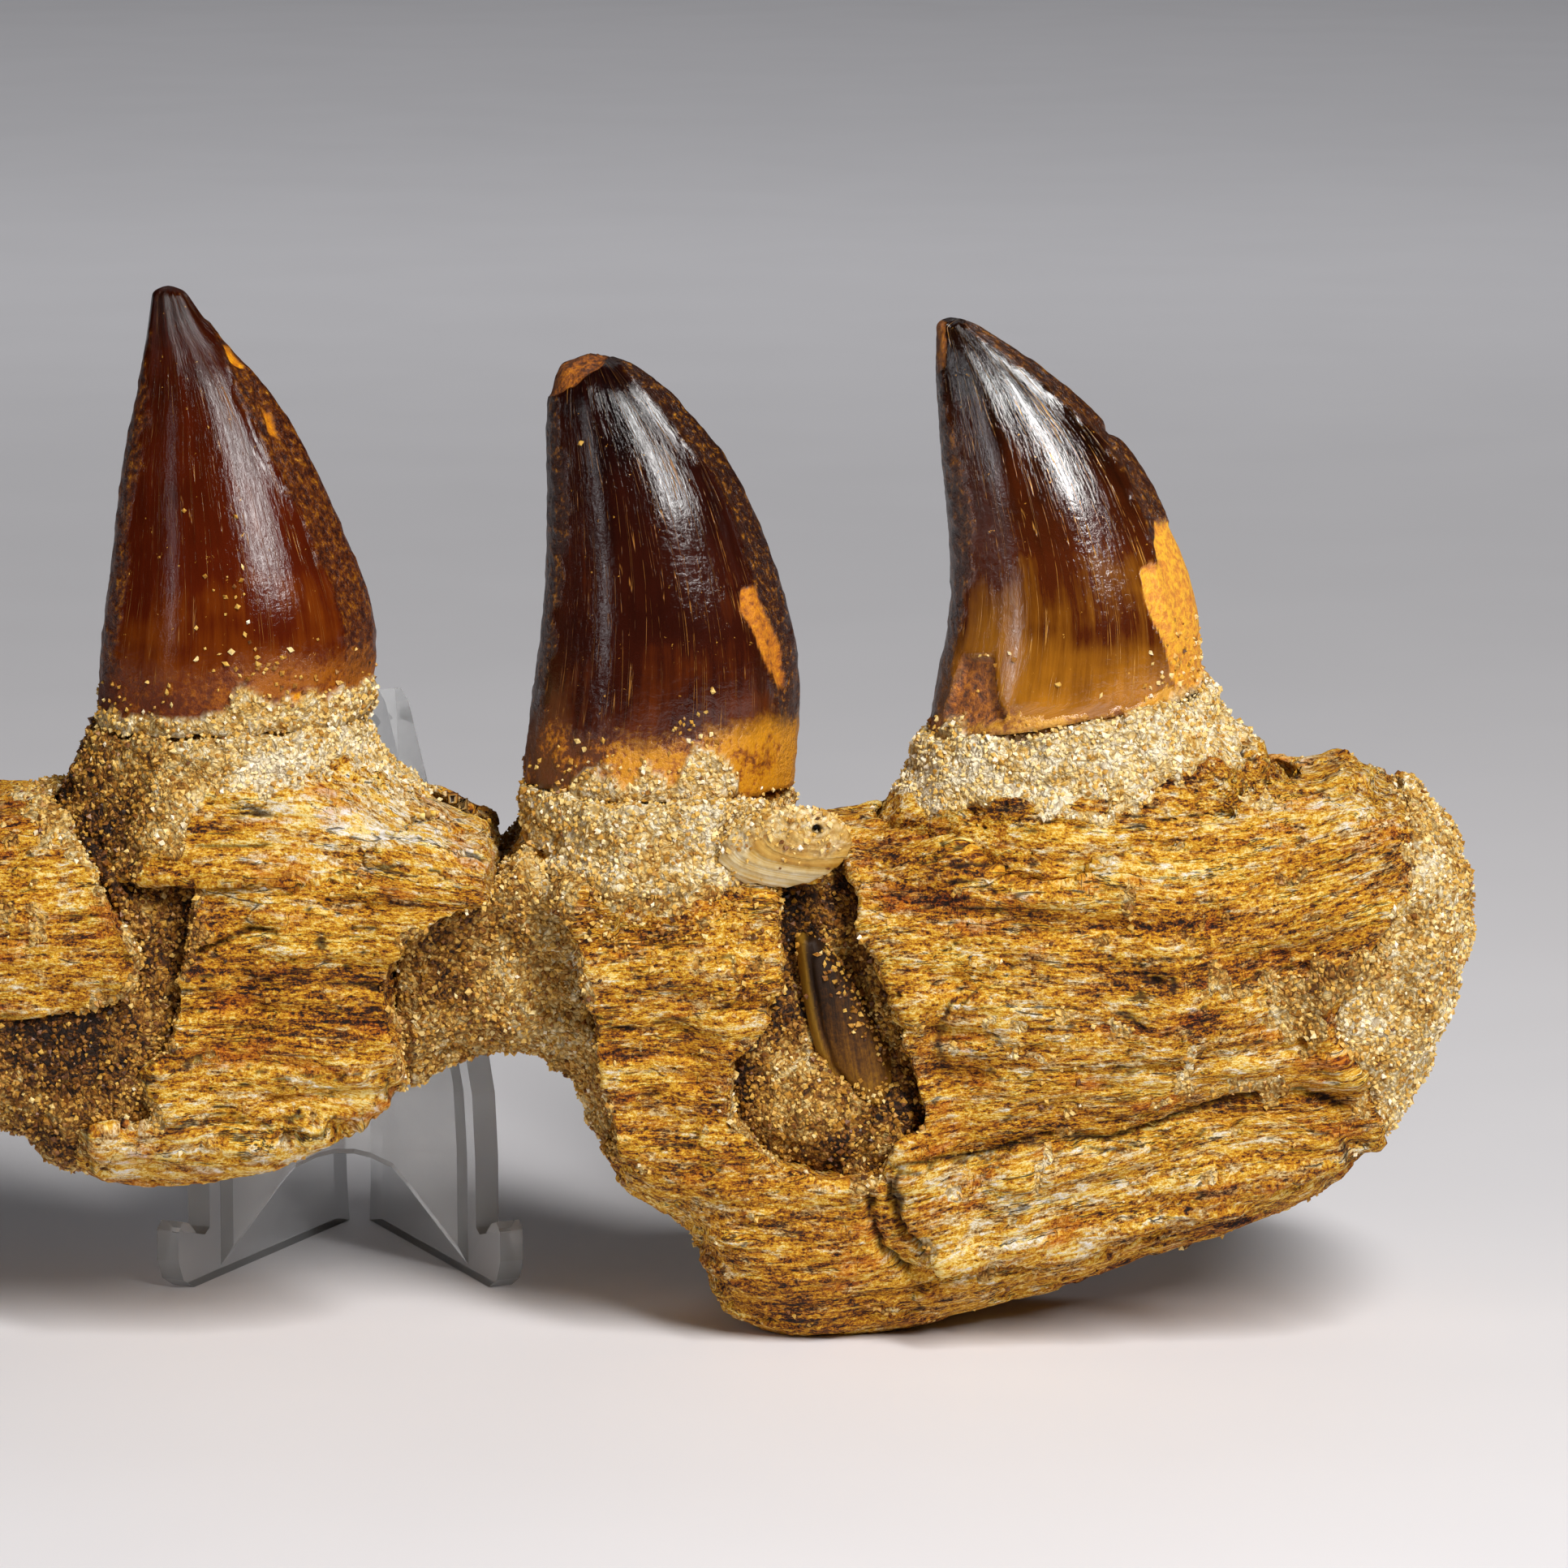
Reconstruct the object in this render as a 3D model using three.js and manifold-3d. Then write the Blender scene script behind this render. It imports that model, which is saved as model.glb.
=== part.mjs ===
// A piece of fossil jaw from a mosasaur, standing on its lower right lobe and leaning on a small clear
// display easel. Two blocks of jaw bone are held together by sandy matrix and carry three teeth.
//
// Millimetres, +Z up, +X along the jaw, -Y towards the side that shows the open socket.
// Every piece is a closed solid, and neighbours keep GAP between them.

import * as THREE from 'three';
import { mergeVertices } from 'three/addons/utils/BufferGeometryUtils.js';
import Module from 'manifold-3d';

const wasm = await Module();
wasm.setup();

// ---------------------------------------------------------------- driving dimensions

const GAP = 0.3;
const FAR = 90;

const JAW = {
  halfThickness: 14.7,
  midPlane: 0.5,
  squarenessAbove: 2.9,
  squarenessBelow: 3.8,
  endRounding: 13,
  endThickness: 0.34,
  endPower: 2.2,
  backRim: 1.4,
  rimStarts: [0.3, 0.8],
  rimFades: [-22, -10],
  frontStarts: [0.25, 0.8],
  swellUp: 0.35,
  swellShift: 40,
  endSteps: [0, 0.7, 1.8],
  endInset: 1.2,
  endBulge: 0.2,
  stationStep: 3.3,
  sides: 34,
};

// Upper and lower edge of the jaw, [along the jaw, height].
const TOP_EDGE = [
  [-90.2, 36.2], [-87.4, 41.2], [-83.8, 45], [-77, 49.3], [-72.4, 50.1], [-53.7, 50.4], [-40.9, 50.9],
  [-32.7, 49.6], [-27.5, 46.9], [-20, 46.9], [-6, 47], [1.4, 47.5], [9.3, 48.6], [13.8, 50], [25, 51.6],
  [41.5, 54.2], [45, 52.8], [48.3, 52.6], [51.3, 53.4], [55, 51.6], [57.7, 51], [60.2, 49.2], [62, 45],
  [62.8, 40],
];
const BOTTOM_EDGE = [
  [-90.3, 30.5], [-87.5, 24.8], [-84.5, 21.3], [-77.7, 18.7], [-70.1, 19.6], [-66.6, 15.6], [-54.3, 14.7],
  [-48.2, 15.7], [-40.6, 19.4], [-36, 22.2], [-30.7, 25.6], [-23.1, 26.3], [-20.1, 24.8], [-17.8, 21.4],
  [-15.7, 14.8], [-9.2, 10.7], [-7.6, 7.4], [-6.6, 3], [-3, 0.4], [2.6, -0.6], [7.2, -0.2], [17.8, 2],
  [27.7, 4.9], [39, 8.4], [48.4, 12.6], [56.1, 20], [61.4, 30.2], [62.8, 38.6],
];

// Upper and lower edge of the smooth plate that runs low along the right block.
const LOWER_PLATE = {
  top: [[-8, 11], [9.6, 17], [17.4, 18.1], [28.5, 19.6], [48.5, 21.2], [60, 23]],
  bottom: [[-8, 4], [10.3, 9.6], [14.4, 8], [24.9, 9], [39.7, 14.1], [60, 22]],
  starts: [8, 12],
  height: 1.3,
  dropAbove: 1.9,
  dropBelow: 1.6,
  edge: [0.4, 1.6],
  fadesAbove: [24, 30],
};
// Lumps, ledges and hollows on the front: height out of the face, where, and how far it reaches.
const FRONT_LUMPS = [
  { height: 0.8, at: [30, 33], reach: [16, 7] },
  { height: 0.7, at: [26, 44.5], reach: [17, 3.4] },
  { height: -0.7, at: [30, 39.6], reach: [15, 1.6] },
  { height: -1.2, at: [46, 30], reach: [5, 5] },
  { height: 0.9, at: [53.6, 45], reach: [2.4, 8] },
  { height: 1, at: [-10, 36], reach: [7, 9] },
  { height: -0.7, at: [-9, 24], reach: [4, 3] },
  { height: 0.6, at: [-6, 13], reach: [6, 2.6] },
  { height: 0.9, at: [-44, 38], reach: [9, 8] },
  { height: 0.8, at: [-38, 48], reach: [9, 2.4] },
  { height: -0.8, at: [-49, 33], reach: [6, 2] },
  { height: -1.2, at: [-44, 24.5], reach: [12, 1.8] },
  { height: 1.1, at: [-50, 20.5], reach: [16, 2.6] },
  { height: 1.9, at: [-69, 40], reach: [9, 6] },
];
// Broad swells of the broken bone: height, waves along the jaw, their start, waves round it, their start.
const SWELLS = [
  { height: 0.55, along: 0.21, from: 1.3, around: 2, turned: 0.7, twist: 0 },
  { height: 0.4, along: 0.47, from: 2.1, around: 3, turned: 0.4, twist: 1.5 },
  { height: 0.24, along: 1.07, from: 0.3, around: 5, turned: 1.1, twist: 2.2 },
];

// Borders of the sandy matrix as seen from the front, [along the jaw, height].
const VALLEY_BORDER = [
  [-53.7, 57], [-53.2, 46], [-54.4, 38.5], [-56, 28.6], [-59.4, 26.2], [-57, 22], [-64, 21.6], [-66, 12],
  [-96, 12], [-96, 31], [-78.8, 30.8], [-70, 31], [-63.3, 31.8], [-58.6, 34], [-58.2, 37], [-60.9, 42.7],
  [-64.5, 48], [-66.8, 57],
];
const BRIDGE_BORDER = [
  [-23.3, 62], [-23.5, 45.5], [-27, 41.4], [-31.4, 40.2], [-34.4, 38.8], [-35.5, 33.6], [-35.2, 27.6],
  [-33, 18], [-15.4, 18], [-16.9, 25], [-17.6, 30], [-18.9, 36.7], [-20, 42], [-19.6, 62],
];
const POCKET_BORDER = [
  [-1.3, 43], [2.5, 42.8], [5.3, 45.8], [6.3, 42.7], [6.8, 39.3], [9.8, 32.9], [10.7, 27.6], [12.8, 21.2],
  [9.9, 20], [8.8, 16.4], [3.3, 16.2], [-1.6, 18.5], [-4.5, 22.3], [-4.1, 26.9], [-1.2, 29.9], [-0.1, 35.2],
];
const RIGHT_END_BORDER = [
  [56.9, 62], [57, 48], [56.3, 43.4], [54.2, 39], [50.5, 34.4], [49.9, 30], [52.9, 25.3], [57, 15], [75, 15],
  [75, 62],
];
// How far back the two hollows reach, and how far the left and right bone run under the bridge.
const VALLEY_BACK = -3.2;
const POCKET_BACK = -2.2;
const BONE_ENDS = { left: -27, right: -21 };
// How far each patch of matrix lies below the bone: everywhere, and more near a place.
const SUNK = {
  valley: { everywhere: 1.3, more: 3.6, at: [-56.5, 40], reach: [4.5, 10] },
  bridge: { everywhere: 1.8, more: 4.6, rises: [36, 45] },
  pocket: { everywhere: 4, more: 2, at: [4, 33], reach: [5, 9] },
  rightEnd: 0.6,
};

// Height of the joint under each crown, at its left and at its right edge.
const CROWN_GAP = { left: [56.9, 57.5], middle: [51.4, 50.8], right: [55.8, 60.2] };
// Left and right edge of each crown, [height, along the jaw], its tip, and how far it leans back.
const CROWNS = {
  left: {
    left: [[50, -63.3], [60.2, -63.4], [64.7, -63], [72.2, -61.9], [81.2, -60.7], [88.7, -59], [96, -57.8]],
    right: [[50, -38.6], [56.8, -38.5], [60.2, -37.7], [64, -37.2], [69.2, -38.5], [74.5, -40.7],
      [81.2, -43.6], [87.2, -47.2], [92.4, -52.2], [96, -54.8]],
    tip: [-56.4, 96.6],
    lean: 2.2,
  },
  middle: {
    left: [[48, -24.5], [53.3, -24.1], [59.4, -23.3], [69.2, -22.1], [78.3, -21.9], [86.5, -21.8],
      [89.6, -20.6]],
    right: [[48, 0.7], [57.1, 1.4], [64, 1.2], [72.2, -1.2], [80.5, -4.9], [85, -8.6], [88.2, -11.8],
      [89.6, -14.2]],
    tip: [-17.6, 90.7],
    lean: 1.2,
  },
  right: {
    left: [[50, 12.6], [60.2, 13.4], [66.2, 14.9], [72.2, 15.2], [81.2, 14.3], [91.7, 13.8], [93.2, 14]],
    right: [[50, 38.4], [63.2, 38.6], [68.5, 37.6], [74.5, 35.3], [80.5, 32.3], [84.8, 28.7], [88.8, 24.3],
      [91.4, 20.5], [93.2, 17]],
    tip: [15.2, 93.7],
    lean: 2,
  },
};
// Left and right edge of each tooth's base, [height, along the jaw].
const BASES = {
  left: {
    left: [[43.5, -69], [48, -68.3], [51.5, -66.2], [54.5, -64.6], [58, -63.6]],
    right: [[43.5, -27], [46.8, -27.4], [48.6, -30.2], [50.6, -33.6], [53.4, -36.6], [57, -38.5]],
  },
  middle: {
    left: [[42.5, -24.8], [49, -24.6], [56, -24]],
    right: [[42.5, 0.6], [49, 0.8], [56, 1.2]],
  },
  right: {
    left: [[43.5, 7.4], [48, 8.2], [51, 10], [54, 11.6], [58, 12.9], [61, 13.4]],
    right: [[43.5, 49], [50, 48.2], [53.2, 45.6], [55.4, 42.4], [58, 39.7], [61, 38.8]],
  },
};
const CROWN_DEPTH = 0.86;
const CROWN_SIDES = 26;
const BASE_SIDES = 28;
const BASE_FLOOR = { left: 44, middle: 43, right: 44 };
// Half the depth of a tooth's base, [height, half depth].
const BASE_HALF_DEPTH = [[40, 14.2], [50, 13.4], [54, 11.9], [62, 11.2]];
const BASE_ABOVE_JOINT = 6;
// How a standing solid is ringed, and the shallow flutes that run up it.
const RINGS = { pointed: 15, blunt: 7, crowding: 1.6 };
const FLUTES = { count: 7, turned: 0.5, crown: 0.012, base: 0.024 };

// The small tooth lying in the open socket, the bit of shell above it and the round lump below.
const EMBEDDED = {
  left: [[22.8, 7.4], [24, 5.6], [26.5, 3.6], [30, 2.5], [34, 1.8], [38, 1.3]],
  right: [[22.8, 9.4], [24.6, 10.2], [30, 8.4], [34.4, 5.8], [38, 3]],
  centreY: -9.4,
  halfDepth: 2,
  sides: 14,
};
const SHELL = { centre: [0.6, -13, 46.4], radii: [6.2, 1.6, 4.2], roll: -14, pitch: 24 };
const BALL = { centre: [2.3, -8.2, 21.6], radii: [6.4, 4.3, 5.6] };

const EASEL = {
  centreX: -42.2,
  frontY: 13.68,
  halfWidth: 13.9,
  plate: 2.4,
  splay: 26,
  height: 54,
  depth: 27,
  webThickness: 2.2,
  webSetback: 1.2,
  webTop: 51,
  levels: [0.4, 6, 12, 18, 24, 30, 44],
  // The blunt top of a side plate and its heel, [back, height].
  topBack: [[1.2, 0], [3, -0.6]],
  heelHeight: 4,
};
// The hooked toe of a side plate, [back from the front edge, height].
const TOE = [
  [-2.8, 0], [-4.7, 1.1], [-5.6, 3.1], [-5.5, 6], [-4.7, 6.8], [-3.5, 6.4], [-2.1, 5.1], [-0.7, 4.7],
];
// How far back the front edge lies, [height, back].
const EASEL_FRONT = [[4.7, 0.2], [18, 0.9], [28, 5.6], [54, 22]];
// Half of the arch cut out of the panel, [out from the middle, height].
const ARCH = [[12.2, 0], [8.6, 4.8], [5.6, 8.9], [4.2, 10.6], [2.6, 11.6], [1, 12]];

// ---------------------------------------------------------------- finishes

const finish = (colour, roughness, more = {}) =>
  new THREE.MeshStandardMaterial({ color: colour, roughness, metalness: 0, ...more });

const FINISH = {
  bone: finish(0xc09445, 0.8),
  matrix: finish(0xb79a63, 0.95),
  base: finish(0xc4a676, 0.92),
  darkMatrix: finish(0x7c5c2c, 0.95),
  redEnamel: finish(0x54250f, 0.25),
  darkEnamel: finish(0x3a1c12, 0.22),
  brownEnamel: finish(0x6b3311, 0.25),
  dullTooth: finish(0x8a6a3a, 0.45),
  shell: finish(0xd9c690, 0.4),
  clear: finish(0xe6ebee, 0.06, { transparent: true, opacity: 0.3 }),
};

// ---------------------------------------------------------------- geometry helpers

/** A smooth function through [position, value] points, held level past both ends. */
function smoothThrough(points) {
  const last = points.length - 1;
  const slopes = points.map((_, i) => {
    const before = points[Math.max(i - 1, 0)];
    const after = points[Math.min(i + 1, last)];
    return (after[1] - before[1]) / (after[0] - before[0]);
  });
  return (position) => {
    let i = 0;
    while (i < last - 1 && position > points[i + 1][0]) i += 1;
    const [start, from] = points[i];
    const [end, to] = points[i + 1];
    const span = end - start;
    const t = THREE.MathUtils.clamp((position - start) / span, 0, 1);
    const bend = t * t * (3 - 2 * t);
    const leave = t * (1 - t) * (1 - t) * span * slopes[i];
    const arrive = t * t * (1 - t) * span * slopes[i + 1];
    return from + (to - from) * bend + leave - arrive;
  };
}

/** A closed surface from rings of points, each end fanned to the centre given for it. */
function ringsToGeometry(rings, startCentre, endCentre) {
  const sides = rings[0].length;
  const positions = rings.flat(2);
  const index = [];
  for (let r = 0; r < rings.length - 1; r += 1) {
    for (let s = 0; s < sides; s += 1) {
      const next = (s + 1) % sides;
      const [a, b] = [r * sides + s, r * sides + next];
      const [c, d] = [a + sides, b + sides];
      index.push(a, b, d, a, d, c);
    }
  }
  const first = rings.length * sides;
  positions.push(...startCentre, ...endCentre);
  const lastRing = (rings.length - 1) * sides;
  for (let s = 0; s < sides; s += 1) {
    const next = (s + 1) % sides;
    index.push(first, next, s, first + 1, lastRing + s, lastRing + next);
  }
  const geometry = new THREE.BufferGeometry();
  geometry.setAttribute('position', new THREE.Float32BufferAttribute(positions, 3));
  geometry.setIndex(index);
  return geometry;
}

/** The solid inside a closed geometry. */
function toSolid(geometry) {
  geometry.deleteAttribute('normal');
  geometry.deleteAttribute('uv');
  const merged = mergeVertices(geometry, 1e-4);
  return new wasm.Manifold(new wasm.Mesh({
    numProp: 3,
    vertProperties: new Float32Array(merged.attributes.position.array),
    triVerts: new Uint32Array(merged.index.array),
  }));
}

/** A named piece from a solid. */
function piece(name, solid, material) {
  const { vertProperties, triVerts } = solid.getMesh();
  const geometry = new THREE.BufferGeometry();
  geometry.setAttribute('position', new THREE.Float32BufferAttribute(vertProperties, 3));
  geometry.setIndex(Array.from(triVerts));
  geometry.computeVertexNormals();
  const mesh = new THREE.Mesh(geometry, material);
  mesh.name = name;
  return mesh;
}

/** An outline moved outwards by a distance, whichever way round its points run. */
function grow(outline, distance) {
  const points = outline.map(([x, z]) => new THREE.Vector2(x, z));
  const turn = Math.sign(THREE.ShapeUtils.area(points));
  return points.map((point, i) => {
    const before = points[(i + points.length - 1) % points.length];
    const after = points[(i + 1) % points.length];
    const normals = [[before, point], [point, after]].map(([from, to]) => {
      const along = to.clone().sub(from).normalize();
      return new THREE.Vector2(along.y * turn, -along.x * turn);
    });
    const sum = normals[0].clone().add(normals[1]);
    const stretch = Math.min(2 / sum.lengthSq(), 1.4);
    return [point.x + sum.x * stretch * distance, point.y + sum.y * stretch * distance];
  });
}

/** A front-view outline carried straight back from front to back. */
function prism(outline, front, back) {
  const shape = new THREE.Shape(outline.map(([x, z]) => new THREE.Vector2(x, z)));
  const geometry = new THREE.ExtrudeGeometry(shape, { depth: back - front, bevelEnabled: false });
  geometry.rotateX(Math.PI / 2);
  geometry.translate(0, back, 0);
  return toSolid(geometry);
}

/** A box between two corners, as a cutter. */
function block(low, high) {
  const size = high.map((value, axis) => value - low[axis]);
  const geometry = new THREE.BoxGeometry(...size);
  geometry.translate(...high.map((value, axis) => (value + low[axis]) / 2));
  return toSolid(geometry);
}

/** A rounded lump with its own three radii, rolled about Y and pitched about X. */
function lumpSolid({ centre, radii, roll = 0, pitch = 0 }, margin = 0) {
  const geometry = new THREE.SphereGeometry(1, 18, 11);
  geometry.scale(...radii.map((radius) => radius + margin));
  geometry.rotateY(THREE.MathUtils.degToRad(roll));
  geometry.rotateX(THREE.MathUtils.degToRad(pitch));
  geometry.translate(...centre);
  return toSolid(geometry);
}

/** How near a place is to a point, from 1 at the point down to 0 well away. */
function nearness(x, z, [atX, atZ], [reachX, reachZ]) {
  return Math.exp(-(((x - atX) / reachX) ** 2) - ((z - atZ) / reachZ) ** 2);
}

// ---------------------------------------------------------------- the jaw's outside

const topOf = smoothThrough(TOP_EDGE);
const bottomOf = smoothThrough(BOTTOM_EDGE);
const JAW_START = TOP_EDGE[0][0];
const JAW_END = TOP_EDGE.at(-1)[0];

const lowerPlateTop = smoothThrough(LOWER_PLATE.top);
const lowerPlateBottom = smoothThrough(LOWER_PLATE.bottom);

/** Half the jaw's thickness at a place along it, drawn in towards the two ends. */
function halfThicknessAt(x) {
  const fromEnd = Math.min(x - JAW_START, JAW_END - x) / JAW.endRounding;
  const closing = 1 - Math.min(Math.max(1 - fromEnd, 0), 1) ** JAW.endPower;
  return JAW.halfThickness * (JAW.endThickness + (1 - JAW.endThickness) * Math.sqrt(closing));
}

/** How much of the raised back rim there is at a place along the jaw: all of it on the left block. */
const rimAlong = (x) => 1 - THREE.MathUtils.smoothstep(x, ...JAW.rimFades);

/** Broad swells and hollows of the broken bone, in millimetres outwards. */
function swell(x, angle) {
  return SWELLS.reduce((sum, { height, along, from, around, turned, twist }) => (
    sum + height * Math.sin(along * x + from + twist * Math.cos(angle)) * Math.cos(around * angle + turned)
  ), 0);
}

/** How far the lower plate and the broken steps above and below it stand out, in millimetres. */
function plateRelief(x, z) {
  const { smoothstep } = THREE.MathUtils;
  const [near, far] = LOWER_PLATE.edge;
  const above = smoothstep(z, lowerPlateTop(x) - near, lowerPlateTop(x) + far);
  const below = 1 - smoothstep(z, lowerPlateBottom(x) - far, lowerPlateBottom(x) + near);
  const levelAgain = 1 - smoothstep(z, ...LOWER_PLATE.fadesAbove);
  const drop = LOWER_PLATE.dropAbove * above * levelAgain + LOWER_PLATE.dropBelow * below;
  return (LOWER_PLATE.height - drop) * smoothstep(x, ...LOWER_PLATE.starts);
}

/** Ledges, plates and grooves on the front of the bone, in millimetres outwards. */
function frontRelief(x, z) {
  const addLump = (sum, { height, at, reach }) => sum + height * nearness(x, z, at, reach);
  return FRONT_LUMPS.reduce(addLump, plateRelief(x, z));
}

/** The jaw's whole outside as one closed solid, its front sunk by sunkBy(x, z). */
function jawSolid(sunkBy = () => 0) {
  const stations = JAW.endSteps.map((step) => JAW_START + step);
  const [first, last] = [JAW_START + JAW.endInset, JAW_END - JAW.endInset];
  const count = Math.round((JAW_END - JAW_START) / JAW.stationStep) - 1;
  for (let i = 1; i <= count - 1; i += 1) stations.push(first + (last - first) * (i / count));
  stations.push(...JAW.endSteps.map((step) => JAW_END - step).reverse());

  const rings = stations.map((x) => {
    const middle = (topOf(x) + bottomOf(x)) / 2;
    const halfHeight = (topOf(x) - bottomOf(x)) / 2;
    const halfThickness = halfThicknessAt(x);
    return Array.from({ length: JAW.sides }, (_, s) => {
      const angle = (s / JAW.sides) * 2 * Math.PI;
      const [c, k] = [Math.cos(angle), Math.sin(angle)];
      const power = 2 / (k > 0 ? JAW.squarenessAbove : JAW.squarenessBelow);
      const outY = Math.sign(c) * Math.abs(c) ** power;
      const outZ = Math.sign(k) * Math.abs(k) ** power;
      const frontness = THREE.MathUtils.smoothstep(-outY, ...JAW.frontStarts);
      const backness = THREE.MathUtils.smoothstep(outY, ...JAW.rimStarts);
      const rim = JAW.backRim * backness * Math.max(k, 0) * rimAlong(x);
      const z = middle + halfHeight * outZ + JAW.swellUp * swell(x + JAW.swellShift, angle) * k + rim;
      const thickness = halfThickness + swell(x, angle) * Math.min(1, halfThickness / JAW.halfThickness);
      const y = JAW.midPlane + outY * thickness;
      return [x, y - frontness * (frontRelief(x, z) - sunkBy(x, z)), z];
    });
  });
  const centreAt = (x) => [x, JAW.midPlane, (topOf(x) + bottomOf(x)) / 2];
  const ends = [centreAt(JAW_START - JAW.endBulge), centreAt(JAW_END + JAW.endBulge)];
  const ground = block([-FAR * 2, -FAR, -FAR], [FAR * 2, FAR, 0]);
  return toSolid(ringsToGeometry(rings, ...ends)).subtract(ground);
}

// ---------------------------------------------------------------- teeth

/**
 * A solid that stands between a left and a right edge seen from the front, oval from above.
 * floor is the height of its bottom and tilt(x) how much higher it is at x; margin grows it all round.
 */
function standing(shape, margin = 0) {
  const { left, right, tip, floor, roof, halfDepth, sides, lean = 0, centreY = 0, tilt = () => 0 } = shape;
  const leftOf = smoothThrough(left);
  const rightOf = smoothThrough(right);
  const levels = tip ? RINGS.pointed : RINGS.blunt;
  const crowding = tip ? RINGS.crowding : 1;
  const rings = [];
  for (let level = 0; level < levels; level += 1) {
    const t = 1 - (1 - level / (levels - 1)) ** crowding;
    const nominal = floor + (roof - floor) * t;
    const centreX = (leftOf(nominal) + rightOf(nominal)) / 2;
    const halfWidth = (rightOf(nominal) - leftOf(nominal)) / 2 + margin;
    const depth = halfDepth(nominal, halfWidth) + margin;
    const endMargin = margin * ((level === levels - 1) - (level === 0));
    rings.push(Array.from({ length: sides }, (_, s) => {
      const angle = (s / sides) * 2 * Math.PI;
      const facet = 1 + (tip ? FLUTES.crown : FLUTES.base) * Math.cos(FLUTES.count * angle + FLUTES.turned);
      const x = centreX + halfWidth * Math.cos(angle) * facet;
      const y = centreY + lean * t * t + depth * Math.sin(angle) * facet;
      const z = nominal + tilt(x) * (1 - t) + endMargin;
      return [x, y, z];
    }));
  }
  const middle = (ring) => [0, 1, 2].map((axis) => (
    ring.reduce((sum, point) => sum + point[axis] / ring.length, 0)
  ));
  const end = tip ? [tip[0], lean + centreY, tip[1] + margin] : middle(rings.at(-1));
  return toSolid(ringsToGeometry(rings, middle(rings[0]), end));
}

/** The height of the joint between a tooth's crown and its base, as a function of x. */
function jointOf(side) {
  const { left, right } = CROWNS[side];
  const [fromZ, toZ] = CROWN_GAP[side];
  const [fromX, toX] = [left[1][1], right[1][1]];
  const slope = (toZ - fromZ) / (toX - fromX);
  return (x) => fromZ + (x - fromX) * slope;
}

function toothCrown(side) {
  const joint = jointOf(side);
  const edges = CROWNS[side];
  const middleX = (edges.left[1][1] + edges.right[1][1]) / 2;
  const level = joint(middleX);
  return standing({
    ...edges,
    floor: level,
    tilt: (x) => joint(x) - level,
    roof: edges.left.at(-1)[0],
    sides: CROWN_SIDES,
    halfDepth: (_, halfWidth) => halfWidth * CROWN_DEPTH,
  });
}

function toothBase(side, margin = 0) {
  const joint = jointOf(side);
  const edges = BASES[side];
  const solid = standing({
    ...edges,
    floor: BASE_FLOOR[side],
    roof: Math.min(...CROWN_GAP[side]) + BASE_ABOVE_JOINT,
    sides: BASE_SIDES,
    halfDepth: smoothThrough(BASE_HALF_DEPTH),
  }, margin);
  const above = (x) => joint(x) - GAP + margin;
  const lid = [[-FAR, above(-FAR)], [FAR, above(FAR)], [FAR, 2 * FAR], [-FAR, 2 * FAR]];
  return solid.subtract(prism(lid, -FAR, FAR));
}

// ---------------------------------------------------------------- the easel

const easelFront = smoothThrough(EASEL_FRONT);

/** One side plate: a hooked toe, a front edge that leans back, and a foot behind. margin thickens it. */
function easelSide(direction, margin = 0) {
  const heights = [TOE.at(-1)[1] + 0.5, ...EASEL.levels.slice(2), EASEL.height - 1];
  const top = easelFront(EASEL.height);
  const outline = [
    ...TOE,
    ...heights.map((z) => [easelFront(z), z]),
    ...EASEL.topBack.map(([back, up]) => [top + back, EASEL.height + up]),
    [EASEL.depth - 0.4, EASEL.heelHeight], [EASEL.depth, 0],
  ];
  const shape = new THREE.Shape(grow(outline, margin).map(([back, z]) => new THREE.Vector2(back, z)));
  const thickness = EASEL.plate + 2 * margin;
  const geometry = new THREE.ExtrudeGeometry(shape, { depth: thickness, bevelEnabled: false });
  geometry.translate(0, 0, -thickness / 2);
  geometry.rotateX(Math.PI / 2);
  geometry.rotateZ(Math.PI / 2);
  geometry.rotateZ(direction * THREE.MathUtils.degToRad(EASEL.splay));
  geometry.translate(EASEL.centreX + direction * EASEL.halfWidth, EASEL.frontY, 0);
  return toSolid(geometry);
}

/** The panel between the side plates, which leans as they do and is cut out below in an arch. */
function easelWeb() {
  const inward = Math.tan(THREE.MathUtils.degToRad(EASEL.splay));
  const midBack = (z) => easelFront(z) + EASEL.webSetback + EASEL.webThickness / 2;
  const halfWidthAt = (z) => EASEL.halfWidth - inward * midBack(z);
  const heights = [...EASEL.levels, EASEL.webTop];
  const frontLine = heights.map((z) => [EASEL.frontY + EASEL.webSetback + easelFront(z), z]);
  const backLine = frontLine.map(([y, z]) => [y + EASEL.webThickness, z]).reverse();
  const profile = new THREE.Shape([...frontLine, ...backLine].map(([y, z]) => new THREE.Vector2(y, z)));
  const sheet = new THREE.ExtrudeGeometry(profile, { depth: 4 * EASEL.halfWidth, bevelEnabled: false });
  sheet.rotateX(Math.PI / 2);
  sheet.rotateZ(Math.PI / 2);
  sheet.translate(EASEL.centreX - 2 * EASEL.halfWidth, 0, 0);

  const halfOutline = [[ARCH[0][0], 0], [halfWidthAt(0), 0], ...heights.map((z) => [halfWidthAt(z), z])];
  const rightHalf = [...ARCH].reverse().concat(halfOutline.slice(1));
  const leftHalf = rightHalf.map(([x, z]) => [-x, z]).reverse();
  const window = prism([...rightHalf, ...leftHalf], -FAR, FAR).translate([EASEL.centreX, 0, 0]);
  return toSolid(sheet).intersect(window).subtract(easelSide(-1, GAP)).subtract(easelSide(1, GAP));
}

// ---------------------------------------------------------------- cutting the pieces apart

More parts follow.
